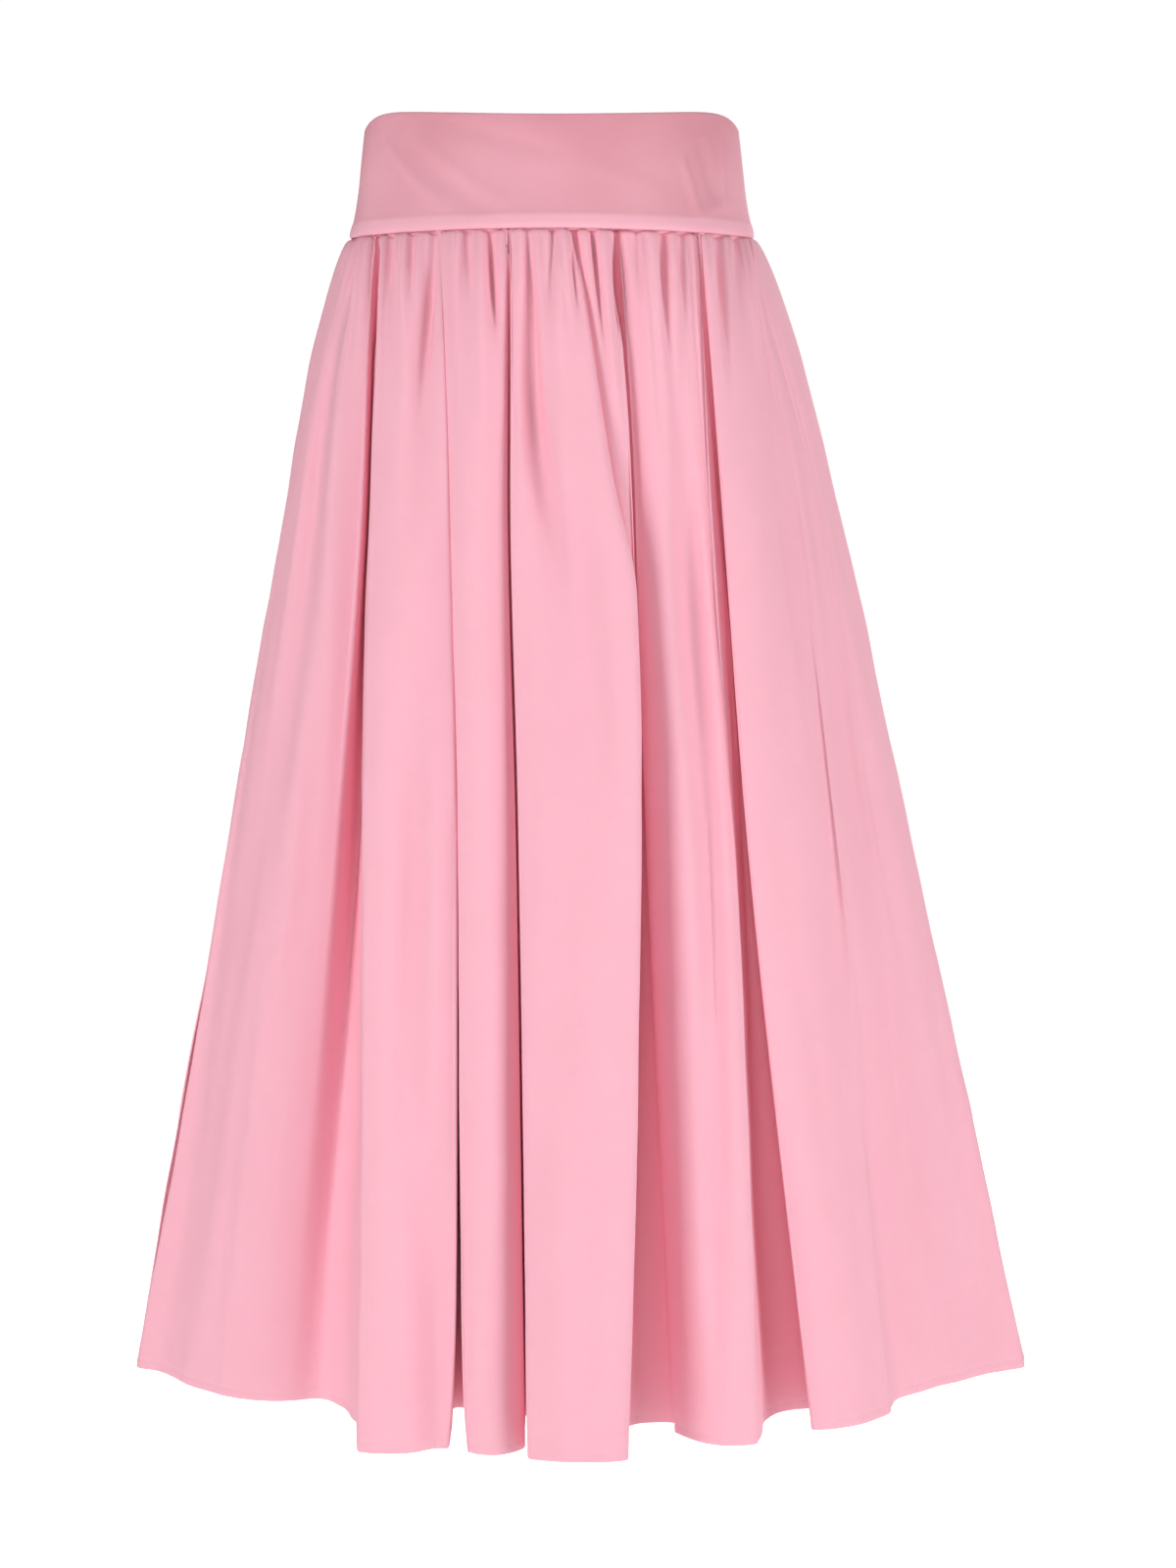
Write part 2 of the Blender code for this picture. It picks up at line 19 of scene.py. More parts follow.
import bpy
import numpy as np
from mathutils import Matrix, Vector

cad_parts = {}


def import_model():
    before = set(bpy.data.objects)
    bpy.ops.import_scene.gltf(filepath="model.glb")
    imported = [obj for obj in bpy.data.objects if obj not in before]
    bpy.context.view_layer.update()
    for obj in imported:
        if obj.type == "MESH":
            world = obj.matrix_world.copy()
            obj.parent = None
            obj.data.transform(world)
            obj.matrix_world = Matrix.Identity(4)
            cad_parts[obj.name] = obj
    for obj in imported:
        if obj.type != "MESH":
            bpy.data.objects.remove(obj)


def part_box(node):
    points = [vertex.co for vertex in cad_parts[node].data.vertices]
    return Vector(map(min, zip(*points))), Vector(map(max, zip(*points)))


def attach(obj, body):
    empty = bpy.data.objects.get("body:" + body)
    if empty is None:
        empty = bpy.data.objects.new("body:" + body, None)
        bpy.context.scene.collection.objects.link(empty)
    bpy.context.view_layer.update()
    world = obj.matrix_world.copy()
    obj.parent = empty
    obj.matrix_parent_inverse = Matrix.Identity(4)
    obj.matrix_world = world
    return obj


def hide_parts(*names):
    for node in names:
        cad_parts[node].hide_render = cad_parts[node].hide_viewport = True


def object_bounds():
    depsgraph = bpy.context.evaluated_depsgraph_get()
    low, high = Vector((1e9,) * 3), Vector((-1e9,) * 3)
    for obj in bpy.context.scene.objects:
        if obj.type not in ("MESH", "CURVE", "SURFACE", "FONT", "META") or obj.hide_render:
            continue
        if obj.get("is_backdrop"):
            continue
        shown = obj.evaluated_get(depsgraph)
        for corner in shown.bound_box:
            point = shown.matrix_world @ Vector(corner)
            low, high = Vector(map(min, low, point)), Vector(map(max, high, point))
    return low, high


LOG = logging.getLogger("gathered_skirt")
SKIRT_BODY = "skirt"
CLOTH_UV = "cloth"
# Name of the attribute that carries painted shade: how far each corner is darkened to stand in for
# shade in the folds and at the band's top
PAINTED_SHADE = "painted_shade"

MM = 0.001
TINY = 1e-12
NOISE_CELLS = 96  # before a field of noise repeats
NOISE_GAIN = 2.2  # spreads the spline's narrow range to about -1 to 1
WHITE = (1.0, 1.0, 1.0, 1.0)

# The waist seam, where the skirt and the band meet
SEAM_HALF_WIDTH = 0.137
SEAM_HALF_DEPTH = 0.105
SEAM_SIDE_DROP = 0.0045
BAND_HEIGHT = 0.0736

Numbers = tuple[float, ...]


class Side(Enum):
    """The two halves of the skirt's ring. The value is the sign of Y there."""

    FRONT = -1
    BACK = 1


class Slot(Enum):
    """Two material slot names; nothing in this script gives them to a piece."""

    CLOTH = "pink_cloth"
    TAPE = "pink_tape"


class Seed(Enum):
    """What each random draw is for. The value is its generator's seed."""

    SLACK = 5
    LONG_CREASES = 6
    CRUMPLE = 8
    HEM_PUCKER = 13
    SIDE_PUCKER = 19
    BAND_SLACK = 23
    BAND_TONE = 31
    GATHERS = 41


class Fold(NamedTuple):
    """One fold that stands out on the ring, and the valley that follows it towards +X.

    Widths and depths are in millimetres at the ring's levels: four of them, or five where
    one more is needed under the hip.
    """

    name: str  # where it hangs
    left: Numbers  # x of its left edge
    right: Numbers  # x of its right edge
    set_back: Numbers  # how far its crown lies inside the ring
    floor: Numbers  # how far the valley's floor lies inside the ring
    roundness: float  # 1 sets its soft edges back by half its width at the hem
    tilt: float  # extra set-back of the right edge over the left at the hem
    lean: float  # sideways shift of the valley's floor at the hem
    floor_width: float  # of a deep valley's floor at the hem, 0 for a soft valley
    opening: float = 0  # how much further the valley's mouth opens close to the hem
    crisp: tuple[bool, bool] = (True, True)  # whether its left and its right edge are crisp


class Crease(NamedTuple):
    """A soft trough on the face of a fold, or a ridge where its depth is negative."""

    side: Side
    x: Numbers  # at its start, middle and end, in millimetres
    height: Numbers  # from the seam (0) to the hem (1), at the same three places
    half_width: float  # in millimetres
    depth: float  # in millimetres


class Wrinkle(NamedTuple):
    """A short soft wrinkle on the band, a ridge where its height is positive."""

    start: Numbers  # degrees from centre front and share of the band's height from its top
    end: Numbers
    half_width: float  # in millimetres
    height: float  # in millimetres


FRONT_FOLDS = (
    Fold("left side", (-136, -175, -217, -284), (-118, -122, -139, -172),
         (0, 6, 22, 62), (6, 48, 86, 116), 0.30, 20, 4, 0, 0, (False, False)),
    Fold("left front", (-112, -117, -120, -125), (-72, -65.5, -60.4, -61),
         (0, 0, 0, 0), (3, 26, 40, 112), 0.40, 16, 0, 12, 10),
    Fold("left of centre", (-72, -65.2, -60.1, -60.4), (-28, -28, -22.5, -16.5),
         (0, 2, 4, 8), (3, 24, 38, 108), 0.75, 6, 3, 10, 0, (True, False)),
    Fold("centre", (-26.5, -26.5, -21, -15), (14, 38.5, 55, 58.5, 50),
         (0, 0, 0, 0), (4, 9, 14, 40, 60), 0.36, 0, 0, 0),
    Fold("tucked under centre", (15, 39.5, 53, 56, 46), (41, 54, 56.5, 57.4, 49),
         (2, 8, 13, 46, 68), (9, 22, 28, 50, 80), 0.4, 0, 6, 8, 0, (False, True)),
    Fold("right of centre", (45, 54.5, 57, 62.5, 82), (97, 108.5, 122, 133),
         (2, 5, 14, 28), (2, 20, 36, 86), 0.75, -20, 16, 12, 0, (False, True)),
    Fold("right front", (99, 111, 129, 173), (131, 160, 189, 228),
         (0, 2, 9, 36), (2, 8, 17, 62), 0.40, 0, 0, 0, 0, (True, False)),
    Fold("right hip", (132, 162, 191, 238), (134.2, 174, 208, 264),
         (2, 9, 20, 78), (3, 10, 22, 82), 0.10, 10, 2, 0, 0, (False, False)),
    Fold("right side", (135.2, 178, 220, 304), (136.3, 184, 234, 322),
         (2, 7, 17, 68), (0, 0, 0, 0), 0.10, -16, 0, 0, 0, (False, False)),
)

BACK_FOLDS = (
    Fold("back left side", (-134, -176, -216, -270), (-108, -134, -157, -194),
         (0, 5, 18, 44), (3, 20, 40, 84), 0.35, -20, 8, 4, 0, (False, False)),
    Fold("back left", (-105, -131.5, -154, -186), (-67, -85, -99, -122),
         (0, 0, 0, 4), (3, 26, 58, 112), 0.50, 0, 0, 12, 0, (True, False)),
    Fold("back left of centre", (-64.5, -82.5, -97.5, -108), (-30, -36, -38, -46),
         (0, 1, 6, 16), (3, 18, 36, 84), 0.45, 10, 4, 8, 0, (True, True)),
    Fold("centre back", (-28, -35, -36.8, -39), (25, 35, 46, 58),
         (0, 0, 0, 0), (3, 24, 56, 118), 0.35, 0, 6, 10, 0, (True, False)),
    Fold("back right of centre", (28.5, 38, 51, 72), (61, 76, 94, 118),
         (0, 2, 8, 20), (3, 26, 56, 100), 0.60, 0, 4, 0, 0, (False, False)),
    Fold("back right", (66, 84, 110, 144), (99, 128.5, 165, 206),
         (0, 0, 2, 6), (3, 20, 38, 84), 0.45, -10, 4, 12, 0, (True, True)),
    Fold("back right side", (102, 131, 168, 222), (134, 180, 234, 308),
         (0, 4, 14, 40), (0, 0, 0, 0), 0.35, 24, 0, 0, 0, (False, False)),
)

CREASES = (
    Crease(Side.FRONT, (-137, -156, -207), (-0.10, 0.22, 0.66), 8, 15),
    Crease(Side.FRONT, (-76, -84, -90), (0.00, 0.12, 0.32), 7, 6),
    Crease(Side.FRONT, (-86, -92, -94), (0.28, 0.58, 0.90), 8, 8),
    Crease(Side.FRONT, (-78, -74, -72), (0.55, 0.98, 1.60), 13, 10),
    Crease(Side.FRONT, (-16, -9, 22), (-0.02, 0.17, 0.36), 6, 11),
    Crease(Side.FRONT, (8, 24, 34), (0.16, 0.32, 0.52), 9, 5),
    Crease(Side.FRONT, (78, 99, 110), (0.02, 0.40, 1.05), 8, 13),
    Crease(Side.BACK, (-88, -108, -126), (0.00, 0.22, 0.50), 9, 9),
    Crease(Side.BACK, (-44, -62, -70), (0.02, 0.20, 0.44), 8, 8),
    Crease(Side.BACK, (47, 64, 80), (0.01, 0.24, 0.56), 9, 10),
    Crease(Side.BACK, (84, 104, 132), (0.03, 0.22, 0.50), 10, 8),
    Crease(Side.BACK, (120, 158, 206), (0.02, 0.30, 0.66), 11, 10),
    Crease(Side.BACK, (-152, -188, -226), (0.08, 0.40, 0.82), 10, 9),
    Crease(Side.BACK, (164, 206, 254), (0.10, 0.44, 0.86), 11, 9),
)

# Tucks that the seam pinches start above it, so that they are deep at the seam
FINE_CREASES = (
    Crease(Side.FRONT, (-131, -134, -140), (-0.04, 0.02, 0.10), 3.0, 3.6),
    Crease(Side.FRONT, (-126, -129, -134), (-0.03, 0.03, 0.09), 3.0, -2.4),
    Crease(Side.FRONT, (-134, -142, -160), (0.03, 0.22, 0.60), 6.0, -3.6),
    Crease(Side.FRONT, (-117, -117, -119), (-0.06, 0.04, 0.12), 2.6, 7.0),
    Crease(Side.FRONT, (-107, -106, -103), (-0.06, 0.02, 0.10), 2.4, 4.0),
    Crease(Side.FRONT, (-98, -96, -92), (-0.04, 0.04, 0.17), 3.4, -2.2),
    Crease(Side.FRONT, (-90, -91, -94), (-0.06, 0.01, 0.08), 2.4, 3.6),
    Crease(Side.FRONT, (-75, -79, -87), (-0.06, 0.05, 0.17), 2.8, 7.0),
    Crease(Side.FRONT, (-66, -62, -60), (-0.04, 0.03, 0.14), 3.4, -2.0),
    Crease(Side.FRONT, (-56, -54, -52), (-0.06, 0.01, 0.07), 2.2, 4.2),
    Crease(Side.FRONT, (-42, -38, -31), (-0.06, 0.04, 0.12), 2.8, 7.0),
    Crease(Side.FRONT, (-48, -46, -44), (-0.04, 0.05, 0.18), 3.6, -2.6),
    Crease(Side.FRONT, (-20, -19, -18), (-0.04, 0.05, 0.26), 3.0, -2.4),
    Crease(Side.FRONT, (-16, -13.5, -6), (-0.06, 0.06, 0.20), 2.0, 5.0),
    Crease(Side.FRONT, (2, 1, -1), (-0.06, 0.02, 0.09), 2.2, 5.0),
    Crease(Side.FRONT, (8, 8, 7), (-0.04, 0.03, 0.12), 3.0, -2.2),
    Crease(Side.FRONT, (13, 16, 20), (-0.06, 0.02, 0.11), 2.2, 5.0),
    Crease(Side.FRONT, (24, 30, 39), (-0.06, 0.03, 0.13), 2.4, 5.5),
    Crease(Side.FRONT, (28, 37, 50), (-0.03, 0.08, 0.20), 3.4, -2.4),
    Crease(Side.FRONT, (-4, 14, 34), (0.10, 0.28, 0.50), 8.0, -3.0),
    Crease(Side.FRONT, (43, 45, 48), (-0.02, 0.045, 0.10), 2.8, 7.0),
    Crease(Side.FRONT, (56, 57, 59), (-0.06, 0.01, 0.07), 2.4, 4.2),
    Crease(Side.FRONT, (60, 63, 67), (-0.04, 0.05, 0.20), 4.0, -2.2),
    Crease(Side.FRONT, (74, 75, 79), (-0.06, 0.02, 0.13), 2.6, 5.4),
    Crease(Side.FRONT, (80, 82, 86), (-0.04, 0.05, 0.16), 3.0, -2.0),
    Crease(Side.FRONT, (85, 87, 90), (-0.06, 0.01, 0.09), 2.2, 4.4),
    Crease(Side.FRONT, (92, 108, 127), (0.10, 0.50, 0.95), 8.0, -2.6),
    Crease(Side.FRONT, (104, 106, 110), (-0.04, 0.03, 0.12), 3.0, -2.4),
    Crease(Side.FRONT, (109, 113, 119), (-0.06, 0.03, 0.14), 2.6, 6.4),
    Crease(Side.FRONT, (122, 124, 128), (-0.06, 0.01, 0.09), 2.4, 4.6),
    Crease(Side.FRONT, (131, 134, 139), (-0.04, 0.03, 0.12), 3.0, -2.2),
    Crease(Side.FRONT, (139, 156, 186), (-0.02, 0.22, 0.55), 4.2, 2.6),
    Crease(Side.FRONT, (176, 200, 222), (0.28, 0.46, 0.66), 10.0, 4.6),
    Crease(Side.FRONT, (192, 208, 222), (0.40, 0.62, 0.84), 9.0, -3.4),
    Crease(Side.FRONT, (96, 104, 112), (0.60, 0.80, 1.02), 5.0, 2.4),
    Crease(Side.FRONT, (-88, -80, -73), (0.66, 0.86, 1.10), 9.0, 3.2),
    Crease(Side.BACK, (-118, -140, -156), (-0.03, 0.18, 0.40), 4.5, 3.0),
    Crease(Side.BACK, (-96, -104, -110), (-0.05, 0.05, 0.20), 3.2, 4.2),
    Crease(Side.BACK, (-78, -82, -88), (-0.04, 0.03, 0.14), 3.2, -2.6),
    Crease(Side.BACK, (-70, -74, -80), (-0.05, 0.02, 0.10), 2.8, 3.6),
    Crease(Side.BACK, (-52, -64, -74), (0.30, 0.50, 0.80), 8.0, -2.6),
    Crease(Side.BACK, (-36, -38, -41), (-0.05, 0.04, 0.15), 3.0, 4.0),
    Crease(Side.BACK, (-14, -18, -20), (-0.02, 0.24, 0.60), 5.0, 2.8),
    Crease(Side.BACK, (20, 23, 28), (-0.04, 0.10, 0.30), 3.6, 3.2),
    Crease(Side.BACK, (24, 25, 27), (-0.05, 0.01, 0.09), 2.8, 3.4),
    Crease(Side.BACK, (36, 42, 50), (-0.05, 0.04, 0.16), 3.2, 4.0),
    Crease(Side.BACK, (54, 64, 72), (-0.03, 0.10, 0.28), 3.8, 2.6),
    Crease(Side.BACK, (92, 116, 150), (0.36, 0.58, 0.86), 9.0, -2.8),
    Crease(Side.BACK, (76, 84, 96), (-0.05, 0.04, 0.17), 3.2, 3.8),
    Crease(Side.BACK, (112, 122, 136), (-0.05, 0.05, 0.20), 3.4, 4.0),
)

WRINKLES = (
    Wrinkle((-58, 0.22), (-30, 0.82), 4.0, 1.65),
    Wrinkle((-50, 0.18), (-18, 0.86), 5.5, -1.21),
    Wrinkle((-42, 0.22), (-12, 0.80), 5.0, 1.10),
    Wrinkle((-34, 0.06), (4, 0.34), 6.0, -0.99),
    Wrinkle((8, 0.42), (34, 0.66), 7.0, 0.66),
    Wrinkle((50, 0.22), (55, 0.70), 5.0, -1.65),
    Wrinkle((42, 0.34), (47, 0.84), 3.5, 1.21),
    Wrinkle((63, 0.16), (60, 0.74), 3.5, 1.10),
    Wrinkle((66, 0.70), (44, 0.86), 4.0, 0.88),
    Wrinkle((112, 0.20), (136, 0.78), 5.0, 1.21),
    Wrinkle((122, 0.14), (150, 0.70), 5.0, -0.99),
    Wrinkle((164, 0.36), (146, 0.82), 4.5, 0.88),
    Wrinkle((200, 0.30), (222, 0.80), 5.0, -1.10),
    Wrinkle((212, 0.18), (236, 0.72), 4.5, 1.10),
    Wrinkle((244, 0.24), (256, 0.78), 4.0, 0.99),
)


# ---------------------------------------------------------------------------- curves


def spline_weights(part: np.ndarray) -> tuple[np.ndarray, ...]:
    """The cubic B-spline weights of four neighbouring corners.

    With r = 1 - f they are r^3/6, (3f^3 - 6f^2 + 4)/6, (3r^3 - 6r^2 + 4)/6 and f^3/6.

    Args:
        part: the fraction f of the span, from 0 to 1.

    Returns:
        Four arrays shaped like part.
    """
    rest = 1 - part
    return (
        rest**3 / 6,
        (3 * part**3 - 6 * part**2 + 4) / 6,
        (3 * rest**3 - 6 * rest**2 + 4) / 6,
        part**3 / 6,
    )


def soft_noise(u: np.ndarray, v: np.ndarray, seed: Seed) -> np.ndarray:
    """A smooth random field of about -1 to 1: a cubic B-spline over a random lattice.

    Args:
        u: first coordinate, one lattice cell for each unit.
        v: second coordinate, of a shape that broadcasts with u.
        seed: what the field is for.

    Returns:
        The field at every (u, v).
    """
    lattice = np.random.default_rng(seed.value).uniform(-1, 1, (NOISE_CELLS, NOISE_CELLS))
    u, v = np.broadcast_arrays(u, v)
    cell_u, cell_v = np.floor(u).astype(int), np.floor(v).astype(int)
    weights_u, weights_v = spline_weights(u - cell_u), spline_weights(v - cell_v)
    field_value = np.zeros(u.shape)
    for i, weight_u in enumerate(weights_u):
        for j, weight_v in enumerate(weights_v):
            corner = lattice[(cell_u + i) % NOISE_CELLS, (cell_v + j) % NOISE_CELLS]
            field_value += weight_u * weight_v * corner
    return NOISE_GAIN * field_value


def cloth_noise(u: np.ndarray, v: np.ndarray, pitch: Numbers, seed: Seed) -> np.ndarray:
    """Soft noise over places on a cloth, with a pitch along u and one along v."""
    return soft_noise(u / pitch[0], v / pitch[1], seed)


def rounded_in(distance: np.ndarray, radius: float) -> np.ndarray:
    """How deep a quarter-round edge lies at a distance from it: r - sqrt(r^2 - (r - d)^2)."""
    gap = np.clip(1 - distance / radius, 0, 1)
    return radius * (1 - np.sqrt(1 - gap**2))


def unit(vectors: np.ndarray) -> np.ndarray:
    """The vectors along the last axis, each made one unit long."""
    length = np.linalg.norm(vectors, axis=-1, keepdims=True)
    return vectors / np.maximum(length, TINY)


def surface_normals(grid: np.ndarray) -> np.ndarray:
    """Outward unit normals of a cloth grid: the downward step crossed with the step along it.

    Args:
        grid: points by row (downwards), column (to the right seen from outside) and x, y, z.

    Returns:
        One normal for each point.
    """
    return unit(np.cross(np.gradient(grid, axis=0), np.gradient(grid, axis=1)))


def lengths_along(grid: np.ndarray, axis: int) -> np.ndarray:
    """Distances along the rows or columns of a grid, from its first point.

    Args:
        grid: points, with their coordinates on the last axis.
        axis: the one to walk along.

    Returns:
        The sums of the steps, shaped like the grid without its last axis.
    """
    steps = np.linalg.norm(np.diff(grid, axis=axis), axis=-1)
    start = np.zeros_like(np.take(steps, [0], axis=axis))
    return np.concatenate([start, np.cumsum(steps, axis=axis)], axis=axis)


def read_along(where: np.ndarray, length: np.ndarray, values: np.ndarray) -> np.ndarray:
    """Vectors given at lengths along a line, read linearly at other lengths, by row."""
    return np.stack([np.interp(where, length, column) for column in values.T], axis=-1)


def folded_edge(
    edge: np.ndarray, normal: np.ndarray, onward: np.ndarray, depth: float, steps: int
) -> np.ndarray:
    """The half circle that takes a cloth over its edge and back behind itself.

    A point is edge - normal * r (1 - cos a) + onward * r sin a, where r is half the depth
    and the angle a runs from 0 to half a turn.

    Args:
        edge: the points of the edge.
        normal: outward normals there.
        onward: the direction in which the cloth reaches its edge.
        depth: how far behind itself the cloth comes back.
        steps: rows on the half circle.

    Returns:
        Points by step and column, without the edge itself.
    """
    angle = np.linspace(0, math.pi, steps + 1)[1:, None, None]
    half = depth / 2
    return edge - normal * half * (1 - np.cos(angle)) + onward * half * np.sin(angle)


def crease_depth(
    creases: tuple[Crease, ...], x: np.ndarray, heights: np.ndarray, side: Side
) -> np.ndarray:
    """How far the creases of one side push the cloth inwards.

    Across a crease the depth is a Gaussian, along it a squared sine that is 1 in the
    middle, and its route is the parabola through its three places.

    Args:
        creases: the table of them.
        x: places, by height and column.
        heights: as a column.
        side: of the skirt.

    Returns:
        Depths shaped like x.
    """
    total = np.zeros_like(x)
    for crease in creases:
        if crease.side is not side:
            continue
        start, middle, end = crease.height
        centre = np.polyval(np.polyfit(crease.height, crease.x, 2), heights) * MM
        rise = np.clip((heights - start) / (middle - start), 0, 1)
        fall = np.clip((end - heights) / (end - middle), 0, 1)
        strength = np.sin(0.5 * math.pi * np.minimum(rise, fall)) ** 2
        across = (x - centre) / (crease.half_width * MM)
        total += crease.depth * MM * strength * np.exp(-(across**2))
    return total


# ---------------------------------------------------------------------------- meshes


def grid_quads(rows: int, columns: int) -> np.ndarray:
    """The faces between the points of a grid.

    Args:
        rows: of the grid.
        columns: of the grid.

    Returns:
        Corner indices, as (count, 4).
    """
    corner = np.arange(rows * columns).reshape(rows, columns)
    quads = [corner[:-1, :-1], corner[1:, :-1], corner[1:, 1:], corner[:-1, 1:]]
    return np.stack(quads, axis=-1).reshape(-1, 4)


def put_in_scene(name: str, data: bpy.types.ID) -> bpy.types.Object:
    """Makes an object of a mesh, light or camera and puts it into the scene.

    Args:
        name: of the object.
        data: what it shows.

    Returns:
        The new object.
    """
    new_object = bpy.data.objects.new(name, data)
    bpy.context.scene.collection.objects.link(new_object)
    return new_object


def new_piece(
    name: str,
    points: np.ndarray,
    faces: np.ndarray,
    material: bpy.types.Material,
    uv: np.ndarray | None = None,
    painted_shade: np.ndarray | None = None,
) -> bpy.types.Object:
    """Puts a surface into the scene as a piece that rides on a body.

    Args:
        name: of the piece.
        points: (count, 3) corner places.
        faces: (count, 3 or 4) corner indices, anticlockwise seen from outside.
        material: its finish.
        uv: (count, 2) cloth coordinates of the corners, in metres.
        painted_shade: how much painted shade darkens each corner, from 0 to 1.

    Returns:
        The new object, smooth shaded.
    """
    sides = faces.shape[1]
    mesh = bpy.data.meshes.new(name)
    mesh.vertices.add(len(points))
    mesh.vertices.foreach_set("co", np.ascontiguousarray(points, dtype=np.float32).ravel())
    mesh.loops.add(faces.size)
    mesh.loops.foreach_set("vertex_index", faces.ravel().astype(np.int32))
    mesh.polygons.add(len(faces))
    starts = np.arange(0, faces.size, sides, dtype=np.int32)
    mesh.polygons.foreach_set("loop_start", starts)
    mesh.update(calc_edges=True)
    if uv is not None:
        layer = mesh.uv_layers.new(name=CLOTH_UV)
        layer.uv.foreach_set("vector", uv[faces.ravel()].astype(np.float32).ravel())
    if painted_shade is not None:
        layer = mesh.attributes.new(PAINTED_SHADE, "FLOAT", "POINT")
        layer.data.foreach_set("value", painted_shade.astype(np.float32).ravel())
    mesh.shade_smooth()
    mesh.materials.append(material)
    piece = put_in_scene(name, mesh)
    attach(piece, SKIRT_BODY)
    return piece


def add_wall(piece: bpy.types.Object, wall: float) -> None:
    """Gives a cloth surface its thickness.

    Args:
        piece: the piece with an open surface.
        wall: the cloth's thickness, inwards from that surface, or outwards if negative.
    """
    solidify = piece.modifiers.new("cloth_thickness", "SOLIDIFY")
    solidify.thickness = wall
    solidify.offset = -1
    solidify.use_even_offset = False


def new_cloth(
    name: str,
    surface: np.ndarray,
    across: np.ndarray,
    material: bpy.types.Material,
    wall: float,
    painted_shade: np.ndarray,
) -> bpy.types.Object:
    """Puts a cloth piece into the scene.

    Its cloth coordinates are the places across it and the mean distances down its rows.

    Args:
        name: of the piece.
        surface: points of its outer face, by row and column.
        across: the columns' places across the flat cloth.
        material: its finish.
        wall: its thickness.
        painted_shade: how much painted shade darkens each point, from 0 to 1.

    Returns:
        The new piece.
    """
    down = lengths_along(surface, axis=0).mean(axis=1)
    uv = np.stack(np.broadcast_arrays(across[None, :], -down[:, None]), axis=-1).reshape(-1, 2)
    quads = grid_quads(*surface.shape[:2])
    points = surface.reshape(-1, 3)
    piece = new_piece(name, points, quads, material, uv, painted_shade)
    add_wall(piece, wall)
    return piece


# ---------------------------------------------------------------------------- skirt


